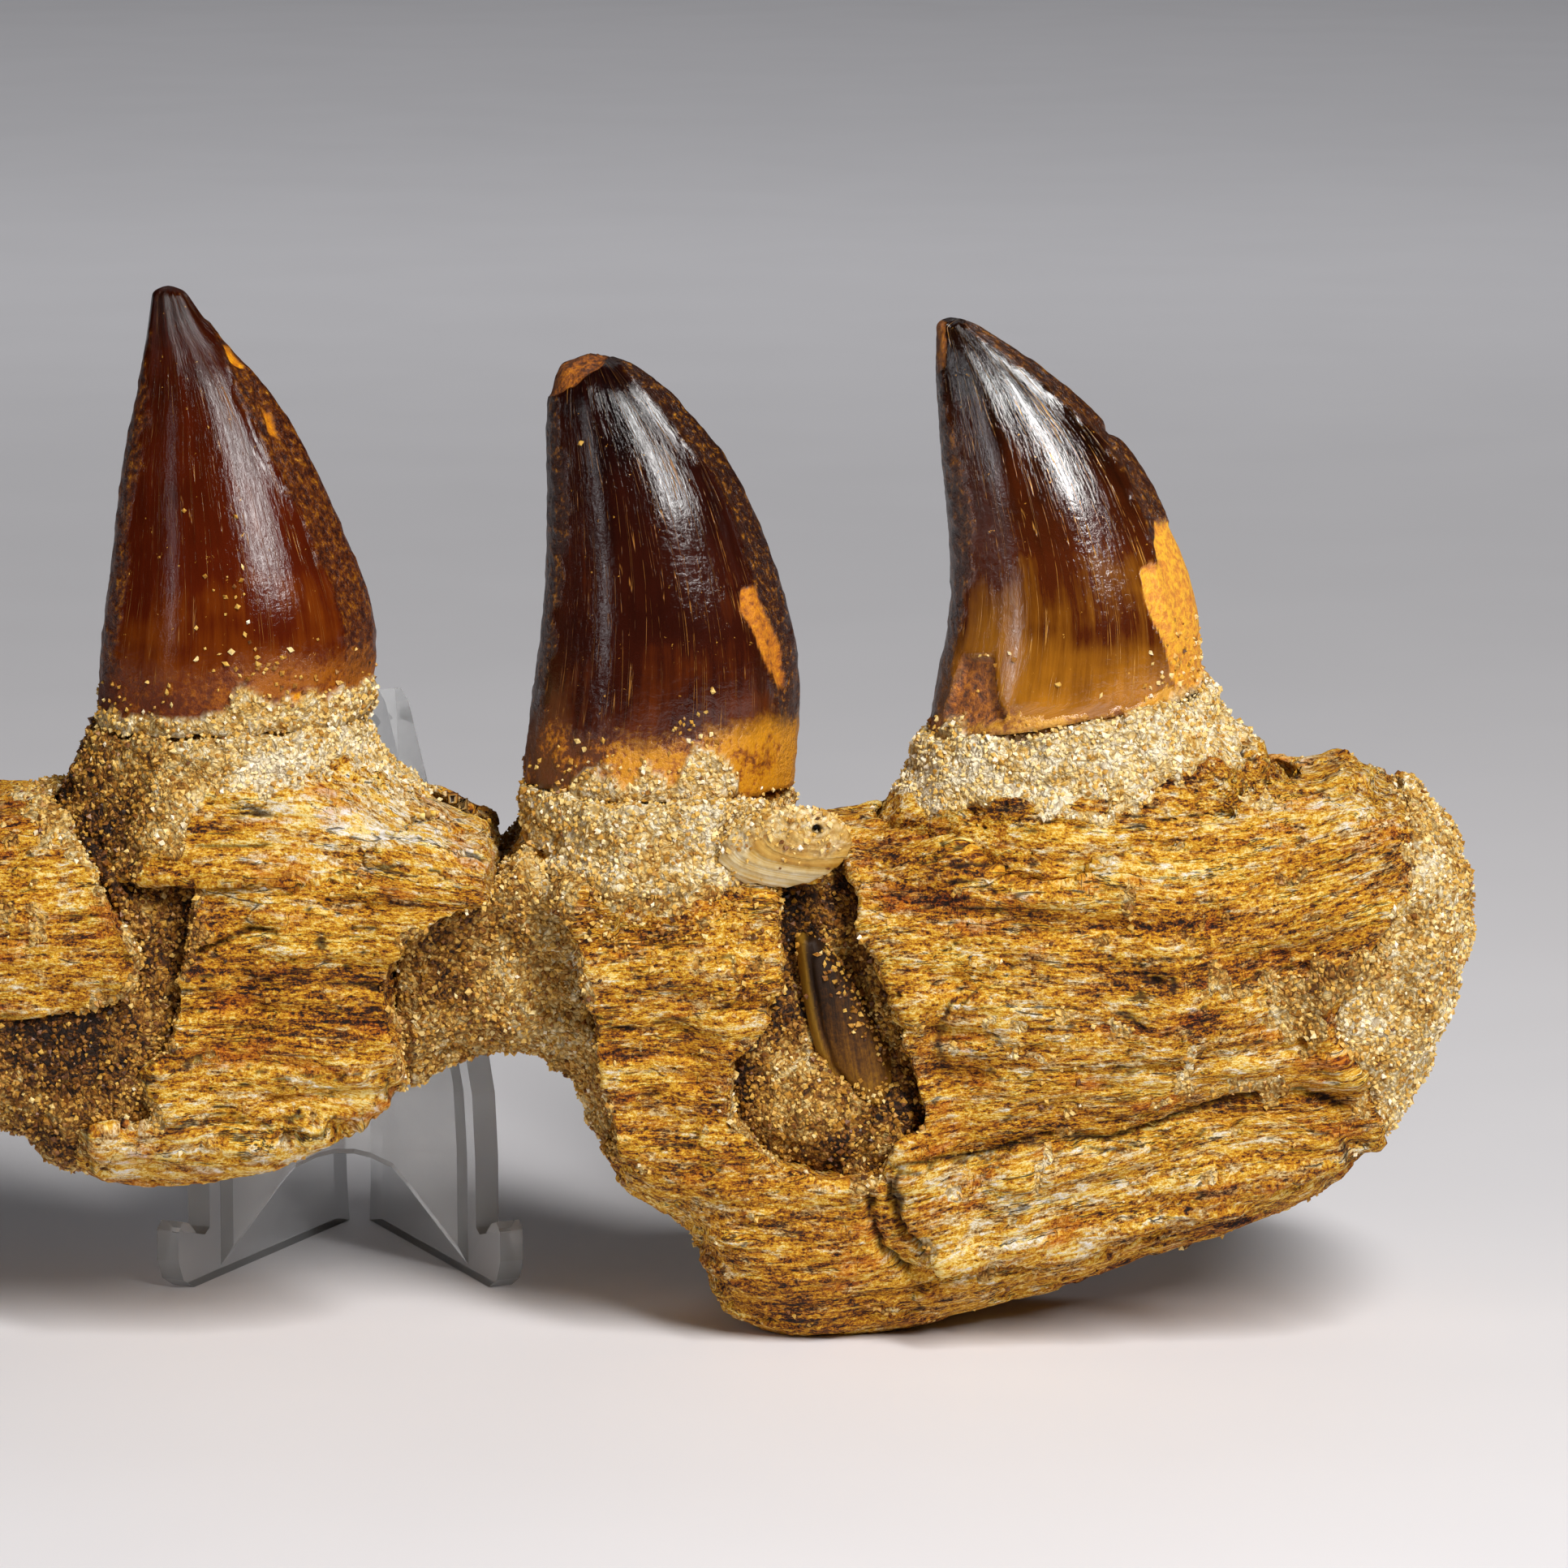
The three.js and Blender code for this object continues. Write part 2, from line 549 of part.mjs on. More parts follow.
const bridgePrism = prism(BRIDGE_BORDER, -FAR, FAR);
const rightEndPrism = prism(RIGHT_END_BORDER, -FAR, FAR);
const valleyPrism = prism(VALLEY_BORDER, -FAR, VALLEY_BACK);
const pocketPrism = prism(POCKET_BORDER, -FAR, POCKET_BACK);

/** How far a hollow lies below the bone as a function of x and z. */
const sunkAs = ({ everywhere, more, at, reach }) => (
  (x, z) => everywhere + more * nearness(x, z, at, reach)
);

/** How far the bridge lies below the bone: least where it rises between the teeth. */
function bridgeSunk(x, z) {
  const { everywhere, more, rises } = SUNK.bridge;
  return everywhere + more * (1 - THREE.MathUtils.smoothstep(z, ...rises));
}

const sides = ['left', 'middle', 'right'];
const baseCutters = Object.fromEntries(sides.map((side) => [side, toothBase(side, GAP)]));
const shellCutter = lumpSolid(SHELL, GAP);

const wholeJaw = jawSolid();
const withoutBases = (solid) => sides.reduce((rest, side) => rest.subtract(baseCutters[side]), solid);

function boneLeft() {
  const cut = wholeJaw
    .intersect(block([-FAR * 2, -FAR, -FAR], [BONE_ENDS.left, FAR, FAR]))
    .subtract(prism(grow(BRIDGE_BORDER, GAP), -FAR, FAR))
    .subtract(prism(grow(VALLEY_BORDER, GAP), -FAR, VALLEY_BACK + GAP));
  return withoutBases(cut);
}

function boneRight() {
  const cut = wholeJaw
    .intersect(block([BONE_ENDS.right, -FAR, -FAR], [FAR * 2, FAR, FAR]))
    .subtract(prism(grow(BRIDGE_BORDER, GAP), -FAR, FAR))
    .subtract(prism(grow(POCKET_BORDER, GAP), -FAR, POCKET_BACK + GAP))
    .subtract(prism(grow(RIGHT_END_BORDER, GAP), -FAR, FAR));
  return withoutBases(cut).subtract(shellCutter);
}

const embeddedShape = {
  ...EMBEDDED,
  floor: EMBEDDED.left[0][0],
  roof: EMBEDDED.left.at(-1)[0],
  halfDepth: () => EMBEDDED.halfDepth,
};

function matrixPocket() {
  return jawSolid(sunkAs(SUNK.pocket))
    .intersect(pocketPrism)
    .add(lumpSolid(BALL).intersect(pocketPrism))
    .subtract(standing(embeddedShape, GAP))
    .subtract(shellCutter);
}

const middleBase = toothBase('middle').subtract(baseCutters.left).subtract(shellCutter);

const valley = jawSolid(sunkAs(SUNK.valley)).intersect(valleyPrism);
const bridge = jawSolid(bridgeSunk).intersect(bridgePrism);
const rightEnd = jawSolid(() => SUNK.rightEnd).intersect(rightEndPrism);

const pieces = [
  piece('jaw_bone_left', boneLeft(), FINISH.bone),
  piece('jaw_bone_right', boneRight(), FINISH.bone),
  piece('matrix_valley', withoutBases(valley), FINISH.darkMatrix),
  piece('matrix_bridge', withoutBases(bridge), FINISH.matrix),
  piece('matrix_pocket', matrixPocket(), FINISH.darkMatrix),
  piece('matrix_right_end', rightEnd, FINISH.matrix),
  piece('tooth_left_base', toothBase('left'), FINISH.base),
  piece('tooth_middle_base', middleBase, FINISH.base),
  piece('tooth_right_base', toothBase('right').subtract(shellCutter), FINISH.base),
  piece('tooth_left_crown', toothCrown('left'), FINISH.redEnamel),
  piece('tooth_middle_crown', toothCrown('middle'), FINISH.darkEnamel),
  piece('tooth_right_crown', toothCrown('right'), FINISH.brownEnamel),
  piece('embedded_tooth', standing(embeddedShape), FINISH.dullTooth),
  piece('shell_fragment', lumpSolid(SHELL), FINISH.shell),
  piece('easel_left_side', easelSide(-1), FINISH.clear),
  piece('easel_right_side', easelSide(1), FINISH.clear),
  piece('easel_web', easelWeb(), FINISH.clear),
];

// The origin is under the middle of the whole thing, on the surface it stands on.
const assembly = new THREE.Group();
assembly.add(...pieces);
const bounds = new THREE.Box3().setFromObject(assembly);
const centre = bounds.getCenter(new THREE.Vector3());
assembly.position.set(-centre.x, -centre.y, -bounds.min.z);

const group = new THREE.Group();
group.add(assembly);

export default group;
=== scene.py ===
"""A piece of fossil mosasaur jaw with three teeth, leaning on a clear display easel.

Sizes are millimetres in the jaw's own grid: x runs along the jaw, y goes back from the side that
shows the open socket, and z is the height above the table. JAW_IN_FRAME carries the grid into the
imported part's frame. Places on the teeth are given on the front drawing: the jaw as it is drawn by
somebody who sits in front of it and looks down on it a little.
"""

from __future__ import annotations

import itertools
import logging
import math
from dataclasses import dataclass, field
from enum import Enum
from typing import Any

import bmesh
import bpy
import numpy as np
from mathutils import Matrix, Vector

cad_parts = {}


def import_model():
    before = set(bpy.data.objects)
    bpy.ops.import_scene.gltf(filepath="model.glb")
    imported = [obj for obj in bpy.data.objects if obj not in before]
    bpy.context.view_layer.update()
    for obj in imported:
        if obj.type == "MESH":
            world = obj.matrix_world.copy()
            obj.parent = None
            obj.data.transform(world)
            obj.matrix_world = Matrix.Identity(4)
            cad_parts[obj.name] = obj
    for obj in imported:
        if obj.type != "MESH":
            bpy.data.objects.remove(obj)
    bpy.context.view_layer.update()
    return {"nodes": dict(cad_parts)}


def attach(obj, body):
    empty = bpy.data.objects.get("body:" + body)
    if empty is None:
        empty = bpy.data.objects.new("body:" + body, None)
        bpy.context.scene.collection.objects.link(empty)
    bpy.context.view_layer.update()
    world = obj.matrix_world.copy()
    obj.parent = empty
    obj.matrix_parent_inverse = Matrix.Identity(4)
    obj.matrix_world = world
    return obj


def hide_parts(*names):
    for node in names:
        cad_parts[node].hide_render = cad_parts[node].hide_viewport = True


Array = np.ndarray
Line = tuple[tuple[float, float], ...]
Socket = bpy.types.NodeSocket

LOG = logging.getLogger("jaw")
MM = 0.001
JAW_IN_FRAME = np.array((13.7, -10.813, 0.0))  # where the jaw's grid starts in the frame, in millimetres
EYE = np.array((0.0, -590.9, 154.8))  # where the front drawing is seen from
EYE_DIPS = math.radians(10)  # how far below level the eye looks
DRAWN_FROM = 600.0  # how far from the eye the drawing's millimetres are true
TABLE_CLEARANCE = 0.02  # how near the table a point may come
MERGE_DISTANCE = 1e-6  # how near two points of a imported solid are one, in metres
FAR_AWAY = 1e6  # more than any distance on the jaw
TINY = 1e-9  # what keeps a division by a length of 0 harmless
NOISE_GAIN = 1.4  # what brings smooth noise up to about -1 to 1
NOISE_FINER = 2.03  # how much finer each layer of noise is than the last

# The whole numbers that turn a cell's place into its own random value.
CELL_PRIMES = (73856093, 19349663, 83492791)
SEED_PRIME = 2654435761
STIR = 0x45D9F3B
WORD = 0xFFFFFFFF
STEPS = 0xFFFFFF


# ---------------------------------------------------------------- places and numbers


def to_frame(points: Array) -> Array:
    """Carries jaw millimetres into the frame's metres."""
    return (points + JAW_IN_FRAME) * MM


def to_jaw(points: Array) -> Array:
    """Carries the frame's metres into jaw millimetres."""
    return points / MM - JAW_IN_FRAME


def on_drawing(points: Array) -> tuple[Array, Array]:
    """Where points show on the front drawing.

    Args:
        points: Places in jaw millimetres, one a row.

    Returns:
        How far right and how far up each one shows, in millimetres from the drawing's middle.
    """
    dip, rise = math.sin(EYE_DIPS), math.cos(EYE_DIPS)
    x, y, z = (points - EYE).T
    away = y * rise - z * dip
    return x * DRAWN_FROM / away, (y * dip + z * rise) * DRAWN_FROM / away


def ease(value: Array, low: float | Array, high: float | Array) -> Array:
    """Goes smoothly from 0 at low to 1 at high."""
    t = np.clip((value - low) / (high - low), 0.0, 1.0)
    return t * t * (3.0 - 2.0 * t)


def near(u: Array, v: Array, at: tuple[float, float], reach: tuple[float, float]) -> Array:
    """Is 1 at a place and falls away to 0 over its reach."""
    return np.exp(-(((u - at[0]) / reach[0]) ** 2) - ((v - at[1]) / reach[1]) ** 2)


def height_at(line: Line, along: Array) -> Array:
    """How high a line of points is at each place along it."""
    return np.interp(along, *zip(*line))


def across_at(line: Line, heights: Array) -> Array:
    """How far right a line of points is at each height."""
    rising = sorted((point[1], point[0]) for point in line)
    return np.interp(heights, *zip(*rising))


def distance_to(u: Array, v: Array, line: Line) -> Array:
    """How far each place is from a line of points.

    Args:
        u: How far right each place is.
        v: How far up each place is.
        line: The line's points.

    Returns:
        The distances.
    """
    best = np.full(len(u), FAR_AWAY)
    for (au, av), (bu, bv) in zip(line, line[1:]):
        du, dv = bu - au, bv - av
        share = np.clip(((u - au) * du + (v - av) * dv) / max(du * du + dv * dv, TINY), 0.0, 1.0)
        best = np.minimum(best, np.hypot(u - au - share * du, v - av - share * dv))
    return best


def depth_in(u: Array, v: Array, outline: Line) -> Array:
    """How far inside a closed outline each place is.

    Args:
        u: How far right each place is.
        v: How far up each place is.
        outline: The outline's points, each given once.

    Returns:
        The distances to the outline, less than 0 outside it.
    """
    closed = outline + outline[:1]
    inside = np.zeros(len(u), bool)
    for (au, av), (bu, bv) in zip(closed, closed[1:]):
        if av != bv:
            crossing = au + (v - av) * (bu - au) / (bv - av)
            inside ^= ((av > v) != (bv > v)) & (u < crossing)
    return np.where(inside, 1.0, -1.0) * distance_to(u, v, closed)


@dataclass(frozen=True)
class Noise:
    """Smooth random values from -1 to 1 over space, the same on every run."""

    seed: int

    def at_cells(self, cells: Array) -> Array:
        """Gives each whole-numbered cell its own value.

        Args:
            cells: The cells, one a row.

        Returns:
            A value from -1 to 1 for each.
        """
        mixed = (cells.astype(np.int64) * CELL_PRIMES).sum(axis=1)
        mixed = (mixed + self.seed * SEED_PRIME) & WORD
        for shift in (16, 15, 16):
            mixed = ((mixed ^ (mixed >> shift)) * STIR) & WORD
        return (mixed & STEPS) / (STEPS // 2) - 1.0

    def __call__(self, points: Array) -> Array:
        """Gives each point a value that changes smoothly over about one unit.

        Args:
            points: The points, one a row.

        Returns:
            A value from about -1 to 1 for each.
        """
        base = np.floor(points)
        part = points - base
        part = part * part * (3.0 - 2.0 * part)
        total = np.zeros(len(points))
        for corner in itertools.product((0, 1), repeat=3):
            weight = np.where(corner, part, 1.0 - part).prod(axis=1)
            total += weight * self.at_cells(base + corner)
        return total * NOISE_GAIN

    def layered(self, points: Array, layers: int = 3) -> Array:
        """Adds ever finer layers of itself, each half as strong as the last."""
        total = sum(Noise(self.seed + k)(points * NOISE_FINER**k) * 0.5**k for k in range(layers))
        return total / NOISE_GAIN


# ---------------------------------------------------------------- working a piece's skin


def store(mesh: bpy.types.Mesh, name: str, values: Array) -> None:
    """Stores a number or a vector for each point of a mesh.

    Args:
        mesh: The mesh.
        name: The attribute's name.
        values: One number, or one row of three, for each point.
    """
    kind, slot = ("FLOAT_VECTOR", "vector") if values.ndim == 2 else ("FLOAT", "value")
    attribute = mesh.attributes.new(name, kind, "POINT")
    attribute.data.foreach_set(slot, values.astype(np.float32).ravel())


def stand(mesh: bpy.types.Mesh, name: str) -> bpy.types.Object:
    """Puts a mesh in the scene.

    Args:
        mesh: The mesh.
        name: The new piece's name.

    Returns:
        The piece.
    """
    piece = bpy.data.objects.new(name, mesh)
    bpy.context.scene.collection.objects.link(piece)
    return piece


@dataclass
class Skin:
    """The points of a piece in jaw millimetres, with the way out at each, while it is worked."""

    piece: bpy.types.Object
    points: Array = field(init=False)
    outward: Array = field(init=False)

    def __post_init__(self) -> None:
        """Reads the piece's points for the first time."""
        self.read()

    def read(self) -> None:
        """Reads the points and the way out at each from the piece's mesh."""
        mesh = self.piece.data
        flat = np.empty(len(mesh.vertices) * 3, np.float32)
        mesh.vertices.foreach_get("co", flat)
        self.points = to_jaw(flat.reshape(-1, 3).astype(float))
        mesh.vertex_normals.foreach_get("vector", flat)
        self.outward = flat.reshape(-1, 3).astype(float)

    def push(self, distance: Array | float) -> None:
        """Moves every point outwards by its own distance, and keeps it above the table.

        Args:
            distance: Millimetres outwards for each point.
        """
        self.points += self.outward * np.reshape(distance, (-1, 1))
        self.points[:, 2] = np.maximum(self.points[:, 2], TABLE_CLEARANCE)
        self.piece.data.vertices.foreach_set("co", to_frame(self.points).astype(np.float32).ravel())
        self.piece.data.update()
        self.read()

    def keep(self, name: str, values: Array) -> None:
        """Stores a number or a vector for each point, for the finish to read."""
        store(self.piece.data, name, values)


@dataclass
class Bench:
    """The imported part's own solids, and how a piece is started from one of them."""

    nodes: dict[str, bpy.types.Object]

    def copy_of(self, node: str, name: str) -> bpy.types.Object:
        """Starts a piece as a merged copy of a solid.

        Args:
            node: The solid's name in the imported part.
            name: The new piece's name.

        Returns:
            The new piece, in the same place as the solid.
        """
        shape = bmesh.new()
        shape.from_mesh(self.nodes[node].data)
        bmesh.ops.remove_doubles(shape, verts=shape.verts[:], dist=MERGE_DISTANCE)
        piece = place(shape, name)
        piece.data.materials.clear()
        return piece


def place(shape: bmesh.types.BMesh, name: str) -> bpy.types.Object:
    """Turns a worked shape into a piece of the scene.

    Args:
        shape: The shape, in metres in the frame, which is used up.
        name: The piece's name.

    Returns:
        The piece.
    """
    mesh = bpy.data.meshes.new(name)
    shape.to_mesh(mesh)
    shape.free()
    return stand(mesh, name)


def settle(piece: bpy.types.Object) -> None:
    """Makes a piece's modifiers part of its mesh and shades it smooth.

    Args:
        piece: The piece.
    """
    graph = bpy.context.evaluated_depsgraph_get()
    settled = bpy.data.meshes.new_from_object(piece.evaluated_get(graph))
    piece.modifiers.clear()
    raw, piece.data = piece.data, settled
    bpy.data.meshes.remove(raw)
    settled.name = piece.name
    settled.polygons.foreach_set("use_smooth", [True] * len(settled.polygons))


def refine(piece: bpy.types.Object, voxel: float, rounds: int) -> None:
    """Covers a piece in an even fine mesh and eases it.

    Args:
        piece: The piece.
        voxel: The fine mesh's spacing in millimetres.
        rounds: How many times it is eased.
    """
    remesh = piece.modifiers.new("fine mesh", "REMESH")
    remesh.mode = "VOXEL"
    remesh.voxel_size = voxel * MM
    easing = piece.modifiers.new("easing", "SMOOTH")
    easing.factor = 0.5
    easing.iterations = rounds
    settle(piece)


def hand_over(piece: bpy.types.Object, finish: bpy.types.Material, slot: str, *nodes: str) -> None:
    """Gives a finished piece its material and hides the solids that it stands for.

    Args:
        piece: The piece.
        finish: Its material.
        slot: Not used.
        *nodes: The solids that it replaces.
    """
    piece.data.materials.append(finish)
    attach(piece, "root")
    if nodes:
        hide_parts(*nodes)
    triangles = sum(len(polygon.vertices) - 2 for polygon in piece.data.polygons)
    LOG.info("%s: %d triangles", piece.name, triangles)


# ---------------------------------------------------------------- what shows on the jaw

# The places in this section are (x, z) on the front of the jaw. First comes the lower edge of the
# sand that lies along the top.
SAND_EDGE: Line = (
    (-90, 53), (-72, 52), (-66, 47), (-60, 44), (-54.5, 46), (-53.5, 50), (-52.6, 51), (-46.7, 52.1),
    (-40.1, 53.1), (-35.7, 51.4), (-30, 50.6), (-25, 49.5), (-23.5, 45.8), (-19.6, 42), (-13.7, 40.5),
    (-6.3, 41.5), (-2.6, 43.5), (1.4, 47.5), (3, 50), (6.9, 50.3), (13.5, 51), (20.9, 51.4), (22.3, 50),
    (31.9, 50.6), (34.8, 53), (42.1, 54), (47, 55.5), (50, 60), (64, 60),
)
# The seams between the bone and the matrix.
VALLEY_BORDER: Line = (
    (-53.7, 57), (-53.2, 46), (-54.4, 38.5), (-56, 28.6), (-59.4, 26.2), (-57, 22), (-64, 21.6), (-66, 12),
)
HOLLOW_BORDER: Line = (
    (-78.8, 30.8), (-70, 31), (-63.3, 31.8), (-58.6, 34), (-58.2, 37), (-60.9, 42.7), (-64.5, 48),
    (-66.8, 57),
)
BRIDGE_LEFT: Line = (
    (-23.3, 62), (-23.5, 45.5), (-27, 41.4), (-31.4, 40.2), (-34.4, 38.8), (-35.5, 33.6), (-35.2, 27.6),
    (-33, 18),
)
BRIDGE_RIGHT: Line = ((-15.4, 18), (-16.9, 25), (-17.6, 30), (-18.9, 36.7), (-20, 42), (-19.6, 62))
POCKET: Line = (
    (-1.3, 43), (2.5, 42.8), (5.3, 45.8), (6.3, 42.7), (6.8, 39.3), (9.8, 32.9), (10.7, 27.6),
    (12.8, 21.2), (9.9, 20), (8.8, 16.4), (3.3, 16.2), (-1.6, 18.5), (-4.5, 22.3), (-4.1, 26.9),
    (-1.2, 29.9), (-0.1, 35.2), (-1.3, 43),
)
RIGHT_END: Line = (
    (56.9, 62), (57, 48), (56.3, 43.4), (54.2, 39), (50.5, 34.4), (49.9, 30), (52.9, 25.3), (57, 15),
)
# The open cracks.
CRACKS: tuple[Line, ...] = (
    ((8.5, 17.1), (7.9, 14.8), (8.5, 11.8), (8.8, 9.8), (10.7, 7.9), (11.8, 7.2)),
    ((9.6, 16.3), (10.3, 13.3), (12.2, 10.2), (13.7, 8.7)),
    ((-53.2, 37.4), (-48.3, 39.9), (-46.1, 39.6)),
    ((33, 21.5), (41, 23.4), (47, 24.6), (51, 23.2)),
    ((9.9, 17.8), (17.4, 18.9), (23.3, 20.8), (29.2, 20.5), (33, 21.4)),
)


@dataclass(frozen=True)
class Plate:
    """A flake of bone that stands proud of the front between two broken edges.

    It rises over its slope at the two ends, and over twice its step along the edges.
    """

    top: Line
    bottom: Line
    height: float
    slope: float = 1.2
    step: float = 0.3

    def cover(self, x: Array, z: Array, ragged: Array) -> Array:
        """How much of the flake there is at each place.

        Args:
            x: How far along the jaw each place is.
            z: How high each place is.
            ragged: How far the flake's edge strays there, in millimetres.

        Returns:
            From 0, off the flake, to 1, on it.
        """
        upper = height_at(self.top, x) + ragged
        lower = height_at(self.bottom, x) - ragged
        start, end = self.top[0][0], self.top[-1][0]
        ends = ease(x + ragged, start, start + self.slope) * ease(end - x - ragged, 0.0, self.slope)
        step = self.step
        return ease(z, lower - step, lower + step) * ease(upper - z, -step, step) * ends


@dataclass(frozen=True)
class Spot:
    """A rounded place with its own strength."""

    at: tuple[float, float]
    reach: tuple[float, float]
    amount: float

    def over(self, u: Array, v: Array) -> Array:
        """Its strength at each place, full at its middle and fading over its reach."""
        return self.amount * near(u, v, self.at, self.reach)


# The flakes, the pits and the one dark speck.
PLATES = (
    Plate(
        top=((9.9, 17.1), (17.4, 18.2), (23.3, 20.1), (29.2, 19.8), (35.9, 20.1), (43.3, 22), (48.5, 20.9),
             (51.4, 20.1)),
        bottom=((9.9, 14), (12.2, 11), (14.4, 8.3), (21.9, 8.9), (32.3, 11), (39.7, 14), (48.5, 17.1)),
        height=1.2,
    ),
    Plate(
        top=((-58.9, 24.7), (-57.1, 27.6), (-51.4, 27.5), (-46.4, 26.7), (-41.9, 26.4), (-35.6, 25.7)),
        bottom=((-58.9, 22.5), (-53, 22.2), (-44.3, 21.5), (-35.6, 21.8)),
        height=0.7,
    ),
    Plate(
        top=((-63.6, 22), (-59.7, 22.2), (-53, 21.8), (-44.3, 20.5), (-40.5, 21.3), (-36, 22)),
        bottom=((-66, 14), (-36, 14)),
        height=1.0,
    ),
    Plate(
        top=((14, 33), (20, 35.5), (30, 36), (40, 35), (46, 36)),
        bottom=((14, 27), (22, 26.5), (32, 27.5), (46, 29)),
        height=0.5,
    ),
    Plate(
        top=((-22, 36), (-14, 38), (-4, 37)),
        bottom=((-18, 31), (-10, 31.5), (-3, 33)),
        height=0.5,
    ),
)
PITS = (
    Spot((-8.6, 27.7), (0.8, 0.5), 0.9),
    Spot((-7.8, 25.1), (1.0, 0.5), 0.8),
    Spot((-10, 30.7), (1.2, 0.5), 0.6),
    Spot((-0.1, 27), (0.8, 0.8), 0.7),
    Spot((20.6, 36.5), (0.4, 0.4), 0.7),
    Spot((46.5, 32.5), (4.0, 3.4), 0.8),
    Spot((41, 24.6), (5.5, 1.2), 0.7),
    Spot((-44, 23.9), (7.0, 0.7), 0.6),
)
SPECKS = (Spot((20.6, 36.5), (0.5, 0.4), 1.0),)
# Where the ground is paler, above 0, or rustier, below it.
TONES = (
    Spot((-36, 49), (12, 3.5), 1.5),
    Spot((-44, 43), (8, 4), 0.3),
    Spot((-50, 37.5), (6, 3), -0.5),
    Spot((-36, 35.5), (3, 5), -0.5),
    Spot((-42, 38.5), (4, 2.5), 0.2),
    Spot((-41.5, 31), (3, 2.5), 0.2),
    Spot((-56, 21), (6, 1.2), 0.4),
    Spot((-63.5, 18), (2.5, 1.5), -0.6),
    Spot((9, 39.5), (5, 2.5), 0.6),
    Spot((32, 40.5), (10, 1.5), -0.6),
    Spot((33, 27.5), (8, 2.6), 0.8),
    Spot((43, 50.5), (6, 3.5), -0.2),
    Spot((18.5, 14.5), (9, 4), 0.5),
    Spot((36, 16), (10, 3), 0.15),
    Spot((-1.5, 12), (8, 3), 0.4),
    Spot((0, 3.5), (10, 2.5), -0.4),
    Spot((-11, 32), (6, 5), -0.15),
    Spot((30, 6), (14, 2.5), -0.6),
    Spot((54, 45), (2.5, 8), 0.8),
    # Paler along the right block's top edge: pale sand, and partly a painted highlight on the edge.
    Spot((47, 50.5), (9, 3.0), 0.9),
    Spot((-46, 33), (10, 5), -0.75),
    Spot((-50, 24), (9, 2), -0.35),
)


@dataclass(frozen=True)
class Swelling:
    """A stretch of bone that swells out under the cement of a tooth."""

    amount: float
    rises: tuple[float, float]
    starts: tuple[float, float]
    ends: tuple[float, float]

    def at(self, x: Array, z: Array) -> Array:
        """How far the bone stands out at each place, in millimetres."""
        begun, left = ease(x, *self.starts), ease(self.ends[1] - x, 0, self.ends[1] - self.ends[0])
        return self.amount * ease(z, *self.rises) * begun * left


SWELLINGS = (
    Swelling(1.7, rises=(37.5, 42.5), starts=(-23, -19), ends=(-2.5, 0.5)),
    Swelling(1.0, rises=(40.0, 43.0), starts=(12, 17), ends=(30, 34)),
)


@dataclass(frozen=True)
class Grain:
    """How the bone's fibres run, and how they have split, flaked and worn."""

    bend: Noise = Noise(3)
    strands: Noise = Noise(11)
    splits: Noise = Noise(23)
    flakes: Noise = Noise(31)
    splinters: Noise = Noise(47)
    splinter_size: tuple[float, float, float] = (4.6, 1.05, 2.6)
    stagger: float = 9
    split_width: float = 0.09

    def flow(self, points: Array) -> Array:
        """Follows the fibres, which bend with the jaw.

        Args:
            points: Places in jaw millimetres, one a row.

        Returns:
            Each one's place along, across and behind the fibres, in millimetres.
        """
        x, y, z = points.T
        rise = 0.17 * ease(30 - z, 0, 12) * np.maximum(x - 4, 0) * ease(x, 4, 18)
        sweep = 0.010 * np.maximum(x - 36, 0) ** 2 * ease(z, 22, 32)
        shoulder = 0.012 * np.maximum(x + 44, 0) ** 2 * ease(z, 38, 46) * (x < -15)
        waver = 0.4 * self.bend(points / (17, 9, 9)) + 0.12 * self.bend(points / (5, 3.5, 4) + 40)
        return np.stack((x + 0.25 * y, z - rise - sweep + shoulder + waver, y), axis=1)

    def height(self, flow: Array) -> tuple[Array, Array, Array]:
        """How far the split fibres stand out or lie back.

        Args:
            flow: Each point's place along, across and behind the fibres.

        Returns:
            The height in millimetres, how raised the fibres look from -1 to 1, and the flake that the
            point lies in, with its broken edge where this passes 0.
        """
        strand = self.strands.layered(flow / (5.5, 0.95, 1.5), 3)
        flake = self.flakes.layered(flow / (21, 3.2, 6.0), 2) + 0.06 * self.flakes(flow / (2.2, 0.9, 2.0))
        ledge = 0.6 * ease(flake, -0.08, 0.06) + 0.4 * ease(flake, 0.34, 0.44) - 0.5
        long, wide, deep = self.splinter_size
        row = np.floor(flow[:, 1] / wide)
        offset = self.splinters.at_cells(np.stack((row, row * 0, row * 0), axis=1)) * self.stagger
        cells = np.stack(((flow[:, 0] + offset) / long, flow[:, 1] / wide, flow[:, 2] / deep), axis=1)
        splinter = self.splinters.at_cells(np.floor(cells))
        return 0.24 * strand + 0.85 * ledge + 0.15 * splinter, 0.75 * strand + 0.3 * splinter, flake

    def split(self, flow: Array) -> Array:
        """How open the splits between fibres are.

        Args:
            flow: Each point's place along, across and behind the fibres.

        Returns:
            From 0, closed, to 1, open.
        """
        line = np.abs(self.splits.layered(flow / (17, 1.2, 3.0), 2))
        where = ease(self.flakes(flow / (11, 5, 6) + 17), -0.2, 0.5)
        return ease(self.split_width - line, 0.0, self.split_width) * where


# ---------------------------------------------------------------- node wiring


def tint(code: str) -> tuple[float, float, float, float]:
    """Turns a colour written as six hex digits into scene colour.

    Args:
        code: The six digits.

    Returns:
        Red, green, blue and alpha.
    """
    parts = [int(code[k : k + 2], 16) / 255 for k in (0, 2, 4)]
    linear = [p / 12.92 if p <= 0.04045 else ((p + 0.055) / 1.055) ** 2.4 for p in parts]
    return (*linear, 1.0)


